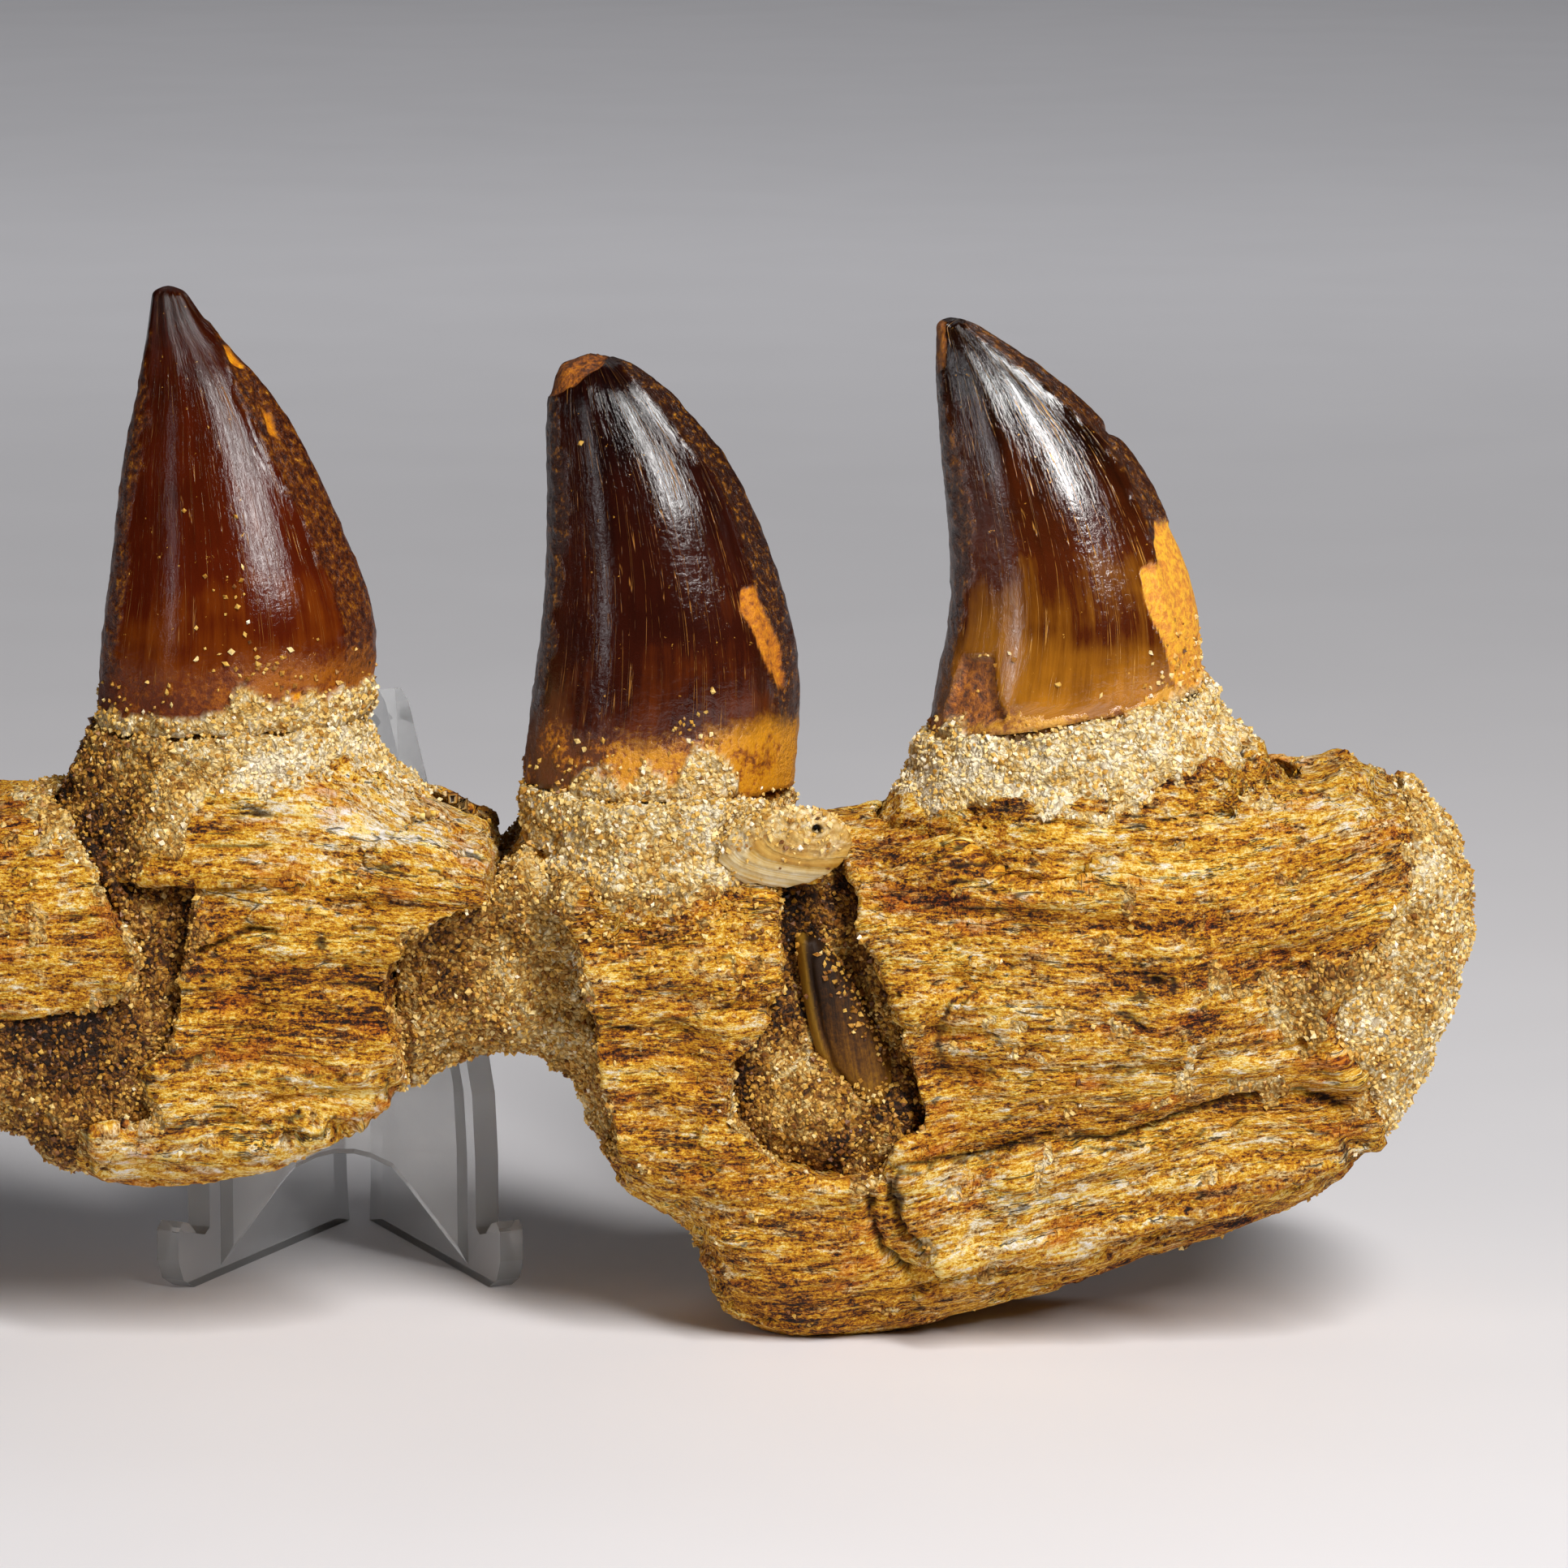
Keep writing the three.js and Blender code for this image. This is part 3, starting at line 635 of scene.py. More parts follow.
@dataclass
class Wiring:
    """Puts nodes in a tree and joins them up."""

    tree: bpy.types.NodeTree

    def add(self, kind: str, feeds: dict[str | int, Any] | None = None, **settings: Any) -> bpy.types.Node:
        """Adds a node.

        Args:
            kind: The node's type, without its ShaderNode prefix.
            feeds: For its inputs, by name or number, a socket to join or a fixed value.
            **settings: The node's own options.

        Returns:
            The node.
        """
        node = self.tree.nodes.new("ShaderNode" + kind)
        for name, value in settings.items():
            setattr(node, name, value)
        return self.feed(node, feeds or {})

    def feed(self, node: bpy.types.Node, feeds: dict[str | int, Any]) -> bpy.types.Node:
        """Joins or sets a node's inputs.

        Args:
            node: The node.
            feeds: For its inputs, by name or number, a socket to join or a fixed value.

        Returns:
            The same node.
        """
        for key, value in feeds.items():
            if isinstance(value, Socket):
                self.tree.links.new(value, node.inputs[key])
            else:
                node.inputs[key].default_value = value
        return node

    def sum(self, start: float, *terms: tuple[Socket, float]) -> Socket:
        """Adds up sockets, each times its own weight.

        Args:
            start: The starting value.
            *terms: Each socket with its weight.

        Returns:
            The sum.
        """
        total: Socket | float = start
        for socket, weight in terms:
            feeds = {0: socket, 1: weight, 2: total}
            total = self.add("Math", feeds, operation="MULTIPLY_ADD").outputs[0]
        return total

    def times(self, first: Socket, second: Socket | float) -> Socket:
        """Multiplies two values."""
        return self.add("Math", {0: first, 1: second}, operation="MULTIPLY").outputs[0]

    def highest(self, first: Socket, second: Socket) -> Socket:
        """Takes the higher of two values."""
        return self.add("Math", {0: first, 1: second}, operation="MAXIMUM").outputs[0]

    def blend(self, share: Socket, first: Socket, second: Socket) -> Socket:
        """Goes from one value to another as the share goes from 0 to 1."""
        feeds = {0: share, 2: first, 3: second}  # a Mix node's sockets for plain values
        return self.add("Mix", feeds, data_type="FLOAT").outputs[0]

    def between(
        self, value: Socket, low: float, high: float, start: float = 0.0, end: float = 1.0
    ) -> Socket:
        """Goes smoothly from start to end as a value goes from low to high."""
        feeds = {"Value": value, "From Min": low, "From Max": high, "To Min": start, "To Max": end}
        return self.add("MapRange", feeds, interpolation_type="SMOOTHSTEP").outputs[0]

    def nearly(self, value: Socket, level: float, inner: float, outer: float) -> Socket:
        """Marks where a value is near a level.

        Args:
            value: The value.
            level: The level.
            inner: How near it is wholly marked.
            outer: How near the mark ends.

        Returns:
            1 within inner, and 0 beyond outer.
        """
        offset = self.add("Math", {0: value, 1: level}, operation="SUBTRACT").outputs[0]
        away = self.add("Math", {0: offset}, operation="ABSOLUTE").outputs[0]
        return self.between(away, inner, outer, 1.0, 0.0)

    def stretched(self, vector: Socket, factors: tuple[float, float, float]) -> Socket:
        """Multiplies a place by three factors."""
        return self.add("VectorMath", {0: vector, 1: factors}, operation="MULTIPLY").outputs[0]

    def scaled(self, vector: Socket, factor: float) -> Socket:
        """Multiplies a place by one factor."""
        return self.stretched(vector, (factor, factor, factor))

    def noise(self, vector: Socket, detail: float = 2.0, rough: float = 0.5, bend: float = 0.0) -> Socket:
        """A cloud of values about 0.5, over about one unit of the vector."""
        feeds = {"Vector": vector, "Scale": 1.0, "Detail": detail, "Roughness": rough, "Distortion": bend}
        return self.add("TexNoise", feeds).outputs[0]

    def ramp(self, value: Socket, stops: dict[float, str]) -> Socket:
        """Looks a value up in a row of colours.

        Args:
            value: The value.
            stops: For each value, the colour there as six hex digits.

        Returns:
            The colour.
        """
        node = self.add("ValToRGB", {0: value})
        elements = node.color_ramp.elements
        while len(elements) < len(stops):
            elements.new(0.5)
        for element, (position, code) in zip(elements, sorted(stops.items())):
            element.position = position
            element.color = tint(code)
        return node.outputs[0]

    def mix(
        self, share: Socket | float, first: Socket | str, second: Socket | str, how: str = "MIX"
    ) -> Socket:
        """Mixes two colours.

        Args:
            share: How much of the second there is.
            first: A socket or six hex digits.
            second: A socket or six hex digits.
            how: The kind of mixing.

        Returns:
            The mixed colour.
        """
        pair = [value if isinstance(value, Socket) else tint(value) for value in (first, second)]
        feeds = {0: share, 6: pair[0], 7: pair[1]}  # a Mix node's sockets for colours
        return self.add("Mix", feeds, data_type="RGBA", blend_type=how).outputs[2]

    def attribute(self, name: str, output: str = "Fac") -> Socket:
        """Reads a number, or with Vector a place, that was stored on the piece."""
        return self.add("Attribute", attribute_name=name).outputs[output]

    def millimetres(self) -> Socket:
        """The place on the piece in millimetres."""
        place_on = self.add("TexCoord").outputs["Object"]
        return self.scaled(place_on, 1.0 / MM)


class Effect(Enum):
    """The shared looks that several finishes use."""

    BONE = "bone_fibres"
    SAND = "sand_grains"
    GROWTH = "tooth_growth"

    def tree(self) -> bpy.types.NodeTree:
        """The effect's node group, which is built the first time it is asked for."""
        return bpy.data.node_groups.get(self.value) or EFFECT_BUILDERS[self]()

    def use(self, wiring: Wiring, **feeds: Any) -> bpy.types.Node:
        """Puts the effect in a material.

        Args:
            wiring: The material's nodes.
            **feeds: For each of its inputs, a socket or a value.

        Returns:
            The group's node.
        """
        node = wiring.tree.nodes.new("ShaderNodeGroup")
        node.node_tree = self.tree()
        return wiring.feed(node, feeds)


def start_effect(
    effect: Effect, takes: dict[str, str], gives: dict[str, str]
) -> tuple[Wiring, bpy.types.NodeOutputs, bpy.types.Node]:
    """Starts a node group with its named inputs and outputs.

    Args:
        effect: The effect.
        takes: Each input's name and kind.
        gives: Each output's name and kind.

    Returns:
        The group's wiring, its inputs by name and its output node.
    """
    tree = bpy.data.node_groups.new(effect.value, "ShaderNodeTree")
    for name, kind in takes.items():
        tree.interface.new_socket(name, in_out="INPUT", socket_type="NodeSocket" + kind)
    for name, kind in gives.items():
        tree.interface.new_socket(name, in_out="OUTPUT", socket_type="NodeSocket" + kind)
    inputs = tree.nodes.new("NodeGroupInput").outputs
    return Wiring(tree), inputs, tree.nodes.new("NodeGroupOutput")


def bone_effect() -> bpy.types.NodeTree:
    """Short streaks of fibre from dark splits through rust and gold to cream.

    Returns:
        The node group.
    """
    takes = {"Flow": "Vector", "Relief": "Float", "Flake": "Float", "Tone": "Float"}
    wiring, given, out = start_effect(Effect.BONE, takes, {"Color": "Color", "Height": "Float"})
    flow = given["Flow"]
    strand = wiring.noise(wiring.stretched(flow, (0.36, 2.1, 1.6)), 6.0, 0.68)
    fleck = wiring.noise(wiring.stretched(flow, (1.7, 3.2, 3.0)), 4.0, 0.75)
    grit = wiring.noise(wiring.stretched(flow, (4.4, 5.6, 5.0)), 2.0, 0.6)
    broad = wiring.noise(wiring.stretched(flow, (0.05, 0.34, 0.3)), 4.0, 0.6)
    hue = wiring.noise(wiring.stretched(flow, (0.4, 1.2, 1.0)), 5.0, 0.7)
    rust = wiring.noise(wiring.stretched(flow, (0.12, 0.3, 0.3)), 5.0, 0.7)
    # Where the flake lies low and where the fibres lie low the ground is darker, and raised fibres are
    # lighter: painted shade in the low places, with dirt.
    buried = wiring.between(given["Flake"], -0.4, 0.02, 1.0, 0.0)
    light = wiring.sum(
        -2.36, (strand, 1.8), (fleck, 2.0), (grit, 0.8), (broad, 1.15), (given["Relief"], 0.07),
        (given["Tone"], 0.17), (buried, -0.13),
    )
    gold = wiring.ramp(
        light,
        {0.0: "1c0a01", 0.15: "5a2a04", 0.31: "a05c09", 0.5: "cc8c14", 0.7: "e5b336", 0.92: "f8de8e"},
    )
    cream = wiring.ramp(
        light,
        {0.0: "221208", 0.17: "68421b", 0.35: "ab8142", 0.54: "d0ae70", 0.75: "e8d8b0", 0.95: "f4ece4"},
    )
    pale = wiring.between(wiring.sum(0.0, (hue, 1.0), (given["Tone"], 0.07)), 0.52, 0.64)
    color = wiring.mix(pale, gold, cream)
    color = wiring.mix(wiring.between(rust, 0.5, 0.68, 0.0, 0.7), color, "e0984a", "MULTIPLY")
    line = wiring.noise(wiring.stretched(flow, (0.06, 1.1, 0.8)), 4.0, 0.6, 0.1)
    open_here = wiring.between(wiring.noise(wiring.stretched(flow, (0.14, 0.5, 0.4)), 3.0, 0.65), 0.47, 0.57)
    crack = wiring.times(wiring.nearly(line, 0.5, 0.002, 0.015), open_here)
    across = wiring.noise(wiring.stretched(flow, (0.5, 0.1, 0.2)), 3.0, 0.7)
    cut = wiring.times(wiring.nearly(across, 0.5, 0.001, 0.006), wiring.between(rust, 0.52, 0.6))
    # A dark line along each flake's broken edge: painted shadow under the edge, with dirt.
    step = wiring.times(wiring.nearly(given["Flake"], -0.02, 0.0, 0.03), wiring.between(hue, 0.5, 0.58))
    marks = wiring.highest(crack, wiring.times(cut, 0.8))
    marks = wiring.highest(marks, wiring.times(step, 0.9))
    # Darkens the cracks, the cuts and, as painted shadow with dirt, the flakes' edges.
    color = wiring.mix(wiring.times(marks, 0.85), color, "1c0c03")
    height = wiring.sum(0.0, (strand, 0.6), (fleck, 0.6), (grit, 0.3), (marks, -0.7))
    wiring.tree.links.new(color, out.inputs["Color"])
    wiring.tree.links.new(height, out.inputs["Height"])
    return wiring.tree


def sand_effect() -> bpy.types.NodeTree:
    """Packed grains of cream, gold, brown and clear sand, with painted shade in the gaps between them.

    Returns:
        The node group.
    """
    takes = {"Place": "Vector", "Tone": "Float"}
    wiring, given, out = start_effect(Effect.SAND, takes, {"Color": "Color", "Height": "Float"})
    warped = wiring.add("TexNoise", {"Vector": given["Place"], "Scale": 0.9, "Detail": 1.0}).outputs["Color"]
    place_on = wiring.add("VectorMath", {0: given["Place"], 1: warped}, operation="ADD").outputs[0]
    coarse = wiring.add("TexVoronoi", {"Vector": place_on, "Scale": 2.0, "Randomness": 1.0})
    small = wiring.add("TexVoronoi", {"Vector": place_on, "Scale": 4.2, "Randomness": 1.0})
    from_coarse, from_small = coarse.outputs["Distance"], small.outputs["Distance"]
    clump = wiring.noise(wiring.scaled(place_on, 0.5), 4.0, 0.65)
    chance = wiring.add("SeparateColor", {0: coarse.outputs["Color"]}).outputs[0]
    chance_small = wiring.add("SeparateColor", {0: small.outputs["Color"]}).outputs[1]
    value = wiring.sum(-0.32, (chance, 0.34), (chance_small, 0.28), (clump, 1.0), (given["Tone"], 0.36))
    color = wiring.ramp(
        value,
        {0.0: "1d0e04", 0.14: "56300b", 0.3: "97601a", 0.48: "c69745", 0.68: "e0c381", 0.92: "f8ebca"},
    )
    # The gaps between grains are darkened: painted shade between the grains.
    gap = wiring.between(from_coarse, 0.4, 0.8, 1.0, 0.45)
    gap_small = wiring.between(from_small, 0.45, 0.85, 1.0, 0.7)
    gap_shade_color = wiring.mix(wiring.between(given["Tone"], -0.6, 0.8), "1a0c03", "74501f")
    shaded = wiring.mix(wiring.times(gap, gap_small), gap_shade_color, color)
    height = wiring.sum(1.0, (from_coarse, -0.7), (from_small, -0.4), (clump, 0.5))
    wiring.tree.links.new(shaded, out.inputs["Color"])
    wiring.tree.links.new(height, out.inputs["Height"])
    return wiring.tree


def growth_effect() -> bpy.types.NodeTree:
    """Marks that run up a tooth: fine wrinkles, light hairlines and soft streaks.

    Returns:
        The node group.
    """
    takes = {"Tooth": "Vector"}
    gives = {"Streak": "Float", "Hairline": "Float", "Wrinkle": "Float", "Band": "Float"}
    wiring, given, out = start_effect(Effect.GROWTH, takes, gives)
    tooth = given["Tooth"]
    streak = wiring.noise(wiring.stretched(tooth, (0.8, 0.06, 0.0)), 5.0, 0.7)
    line = wiring.noise(wiring.stretched(tooth, (0.9, 0.022, 0.0)), 1.0, 0.6, 0.15)
    first, second = wiring.nearly(line, 0.47, 0.0, 0.009), wiring.nearly(line, 0.56, 0.0, 0.009)
    thin = wiring.highest(first, second)
    broken = wiring.between(wiring.noise(wiring.stretched(tooth, (0.6, 0.16, 0.0)), 4.0, 0.75), 0.47, 0.6)
    rows = wiring.noise(wiring.stretched(tooth, (2.1, 0.5, 0.0)), 4.0, 0.65, 0.9)
    cross = wiring.noise(wiring.stretched(tooth, (1.1, 1.5, 0.0)), 4.0, 0.65, 0.6)
    band = wiring.noise(wiring.stretched(tooth, (0.03, 0.55, 0.0)), 2.0, 0.5)
    results = {
        "Streak": streak,
        "Hairline": wiring.times(thin, broken),
        "Wrinkle": wiring.sum(0.0, (rows, 0.9), (cross, 0.8)),
        "Band": band,
    }
    for name, socket in results.items():
        wiring.tree.links.new(socket, out.inputs[name])
    return wiring.tree


EFFECT_BUILDERS = {Effect.BONE: bone_effect, Effect.SAND: sand_effect, Effect.GROWTH: growth_effect}


# ---------------------------------------------------------------- finishes


@dataclass(frozen=True)
class Finish:
    """A named material, with the shader that every finish ends in."""

    name: str

    def start(self) -> tuple[bpy.types.Material, Wiring]:
        """Starts the material with an empty tree.

        Returns:
            The material and its wiring.
        """
        material = bpy.data.materials.new(self.name)
        material.use_nodes = True
        material.node_tree.nodes.clear()
        return material, Wiring(material.node_tree)

    def close(self, wiring: Wiring, feeds: dict[str, Any], height: Socket | None, depth: float) -> None:
        """Ends the tree in a Principled shader.

        Args:
            wiring: The material's nodes.
            feeds: For the shader's inputs, sockets or fixed values.
            height: The fine relief, where there is any.
            depth: How many millimetres of relief a height of 1 stands for.
        """
        shader = wiring.add("BsdfPrincipled", feeds)
        if height is not None:
            bump = wiring.add("Bump", {"Strength": 1.0, "Distance": depth * MM, "Height": height})
            wiring.tree.links.new(bump.outputs[0], shader.inputs["Normal"])
        wiring.add("OutputMaterial", {"Surface": shader.outputs[0]})


@dataclass(frozen=True)
class RoughGround(Finish):
    """Bone that turns into sandy crust where the piece says so."""

    def build(self) -> bpy.types.Material:
        """Makes the material.

        Returns:
            The material.
        """
        material, wiring = self.start()
        tone = wiring.attribute("tone")
        bone = Effect.BONE.use(
            wiring, Flow=wiring.attribute("flow", "Vector"), Relief=wiring.attribute("relief"),
            Flake=wiring.attribute("flake"), Tone=tone,
        )
        place_on = wiring.millimetres()
        sand = Effect.SAND.use(wiring, Place=place_on, Tone=tone)
        edge = wiring.noise(wiring.scaled(place_on, 1.6), 2.0, 0.6)
        share = wiring.between(wiring.sum(-0.3, (wiring.attribute("sand"), 1.0), (edge, 0.6)), 0.42, 0.58)
        color = wiring.mix(share, bone.outputs["Color"], sand.outputs["Color"])
        # Darkens the open splits and cracks, and, as painted shadow with dirt, the edges of the standing
        # flakes.
        split_and_edge_shade = wiring.between(wiring.attribute("split"), 0.15, 0.9)
        color = wiring.mix(wiring.times(split_and_edge_shade, 0.85), color, "1c0e05")
        height = wiring.blend(share, bone.outputs["Height"], sand.outputs["Height"])
        rough = wiring.sum(0.6, (bone.outputs["Height"], 0.25))
        feeds = {"Base Color": color, "Roughness": rough, "Specular IOR Level": 0.3}
        self.close(wiring, feeds, height, 0.42)
        return material


@dataclass(frozen=True)
class LooseGrain(Finish):
    """Single sand grains, each in its own colour."""

    def build(self) -> bpy.types.Material:
        """Makes the material.

        Returns:
            The material.
        """
        material, wiring = self.start()
        tone = wiring.attribute("tone")
        cloud = wiring.noise(wiring.scaled(wiring.millimetres(), 3.5), 2.0, 0.5)
        value = wiring.sum(-0.15, (tone, 1.0), (cloud, 0.3))
        color = wiring.ramp(
            value,
            {0.0: "281304", 0.2: "76430c", 0.42: "b88228", 0.62: "dcb052", 0.82: "f0d794", 1.0: "fff2d6"},
        )
        self.close(wiring, {"Base Color": color, "Roughness": wiring.sum(0.3, (cloud, 0.4))}, None, 0.0)
        return material


@dataclass(frozen=True)
class Enamel(Finish):
    """Glossy tooth enamel, dull and flecked towards its edges, with bare tooth where it has chipped."""

    dark: str
    middle: str
    glow: str
    line: str
    fades: float
    strip: str
    foot_dark: str
    foot_middle: str
    foot_light: str
    shine: float = 0.5

    def build(self) -> bpy.types.Material:
        """Makes the material.

        Returns:
            The material.
        """
        material, wiring = self.start()
        tooth = wiring.attribute("tooth", "Vector")
        marks = wiring.attribute("marks", "Vector")
        stained, chipped, at_foot = wiring.add("SeparateXYZ", {0: marks}).outputs
        side, _, up = wiring.add("SeparateXYZ", {0: tooth}).outputs
        growth = Effect.GROWTH.use(wiring, Tooth=tooth).outputs
        place_on = wiring.millimetres()
        cloud = wiring.noise(wiring.scaled(place_on, 0.16), 2.0, 0.5)
        fleck = wiring.noise(wiring.scaled(place_on, 1.5), 4.0, 0.7)

        shade = wiring.sum(
            0.37 + 0.5 * self.fades,
            (growth["Streak"], 0.3), (growth["Band"], 0.04), (cloud, 0.35), (up, -self.fades),
        )
        color = wiring.ramp(shade, {0.5: self.dark, 0.78: self.middle, 1.0: self.glow})
        color = wiring.mix(wiring.times(growth["Hairline"], 0.85), color, self.line)
        dots = wiring.between(fleck, 0.68, 0.72)
        color = wiring.mix(wiring.times(dots, 0.8), color, "d9a040")

        dull = wiring.ramp(fleck, {0.4: "260d04", 0.54: self.strip, 0.66: "a8680f", 0.76: "e0a436"})
        color = wiring.mix(wiring.times(stained, 0.75), color, dull)
        patches = wiring.sum(-0.62, (fleck, 1.1), (growth["Streak"], 0.3), (cloud, 0.9), (side, 0.016))
        lower = wiring.ramp(patches, {0.38: self.foot_dark, 0.5: self.foot_middle, 0.64: self.foot_light})
        foot = wiring.between(wiring.sum(-0.4, (at_foot, 1.0), (fleck, 0.8)), 0.1, 0.95)
        color = wiring.mix(foot, color, lower)
        bare = wiring.ramp(
            wiring.sum(-0.95, (wiring.attribute("bare_tone"), 1.0), (fleck, 1.9)),
            {0.0: "4a2206", 0.25: "8f4c0a", 0.45: "bb6c02", 0.75: "d68600", 1.0: "f0ae04"},
        )
        color = wiring.mix(chipped, color, bare)
        sand = Effect.SAND.use(wiring, Place=place_on, Tone=0.5)
        sanded = wiring.attribute("sand")
        color = wiring.mix(sanded, color, sand.outputs["Color"])

        dullness = wiring.highest(stained, chipped)
        rough = wiring.sum(
            0.05, (growth["Wrinkle"], 0.06), (stained, 0.22), (chipped, 0.55), (foot, 0.25), (sanded, 0.5)
        )
        height = wiring.sum(
            0.0, (growth["Wrinkle"], 0.36), (growth["Hairline"], -0.2), (wiring.times(dullness, fleck), 3.0),
            (wiring.times(foot, fleck), 2.0), (wiring.times(sanded, sand.outputs["Height"]), 3.0),
        )
        feeds = {"Base Color": color, "Roughness": rough, "Specular IOR Level": self.shine}
        self.close(wiring, feeds, height, 0.1)
        return material


@dataclass(frozen=True)
class BuriedTooth(Finish):
    """The dull, striped side of the replacement tooth in the socket."""

    def build(self) -> bpy.types.Material:
        """Makes the material.

        Returns:
            The material.
        """
        material, wiring = self.start()
        tooth = wiring.attribute("tooth", "Vector")
        _, _, up = wiring.add("SeparateXYZ", {0: tooth}).outputs
        stripe = wiring.noise(wiring.stretched(tooth, (1.4, 0.07, 0.0)), 5.0, 0.65)
        fine = wiring.noise(wiring.stretched(tooth, (5.5, 0.5, 0.0)), 3.0, 0.6)
        spots = wiring.noise(wiring.scaled(wiring.millimetres(), 2.2), 3.0, 0.7)
        value = wiring.sum(-0.25, (stripe, 0.7), (fine, 0.35), (spots, 0.5), (up, -0.62))
        stops = {0.08: "241202", 0.26: "4a2a03", 0.42: "6a4206", 0.6: "8c600c", 0.85: "a87e38"}
        color = wiring.ramp(value, stops)
        color = wiring.mix(wiring.attribute("edge"), color, "a87a1c")
        height = wiring.sum(0.0, (stripe, 0.5), (fine, 0.4), (spots, 0.6))
        rough = wiring.sum(0.5, (fine, 0.3))
        feeds = {"Base Color": color, "Roughness": rough, "Specular IOR Level": 0.25}
        self.close(wiring, feeds, height, 0.12)
        return material


@dataclass(frozen=True)
class OldShell(Finish):
    """A pale shell with growth lines, stained by the sand."""

    def build(self) -> bpy.types.Material:
        """Makes the material.

        Returns:
            The material.
        """
        material, wiring = self.start()
        growth = wiring.attribute("growth")
        place_on = wiring.millimetres()
        cloud = wiring.noise(wiring.scaled(place_on, 0.6), 4.0, 0.6)
        lines = wiring.add("CombineXYZ", {0: growth}).outputs[0]
        line = wiring.noise(wiring.stretched(lines, (2.6, 1.0, 1.0)), 3.0, 0.6)
        value = wiring.sum(-0.5, (line, 1.1), (cloud, 0.7), (wiring.attribute("rim"), 0.3))
        stops = {0.05: "6e430e", 0.3: "b98527", 0.5: "d2a850", 0.7: "dec894", 0.9: "ebe0c6"}
        color = wiring.ramp(value, stops)
        sand = Effect.SAND.use(wiring, Place=place_on, Tone=0.3)
        color = wiring.mix(wiring.attribute("sand"), color, sand.outputs["Color"])
        # The bored hole is painted near black: painted shade inside the hole.
        color = wiring.mix(wiring.attribute("hole"), color, "0d0805")
        height = wiring.sum(0.0, (line, 1.0), (cloud, 0.4))
        self.close(wiring, {"Base Color": color, "Roughness": wiring.sum(0.25, (cloud, 0.35))}, height, 0.12)
        return material


@dataclass(frozen=True)
class ClearPlastic(Finish):
    """Clear moulded plastic with a faintly handled surface."""

    def build(self) -> bpy.types.Material:
        """Makes the material.

        Returns:
            The material.
        """
        material, wiring = self.start()
        place_on = wiring.millimetres()
        haze = wiring.noise(wiring.scaled(place_on, 0.2), 4.0, 0.6)
        color = wiring.ramp(haze, {0.3: "f0f2f3", 0.7: "fbfcfc"})
        rough = wiring.sum(0.0, (haze, 0.24))
        feeds = {"Base Color": color, "Roughness": rough, "Transmission Weight": 0.8, "IOR": 1.17}
        self.close(wiring, feeds, haze, 0.05)
        return material


@dataclass(frozen=True)
class TableTop(Finish):
    """The pale table, clean but not quite even."""

    def build(self) -> bpy.types.Material:
        """Makes the material.

        Returns:
            The material.
        """
        material, wiring = self.start()
        cloud = wiring.noise(wiring.scaled(wiring.millimetres(), 0.02), 3.0, 0.5)
        color = wiring.ramp(cloud, {0.3: "eae8eb", 0.7: "eceaed"})
        self.close(wiring, {"Base Color": color, "Roughness": wiring.sum(0.57, (cloud, 0.06))}, None, 0.0)
        return material


# ---------------------------------------------------------------- loose grains


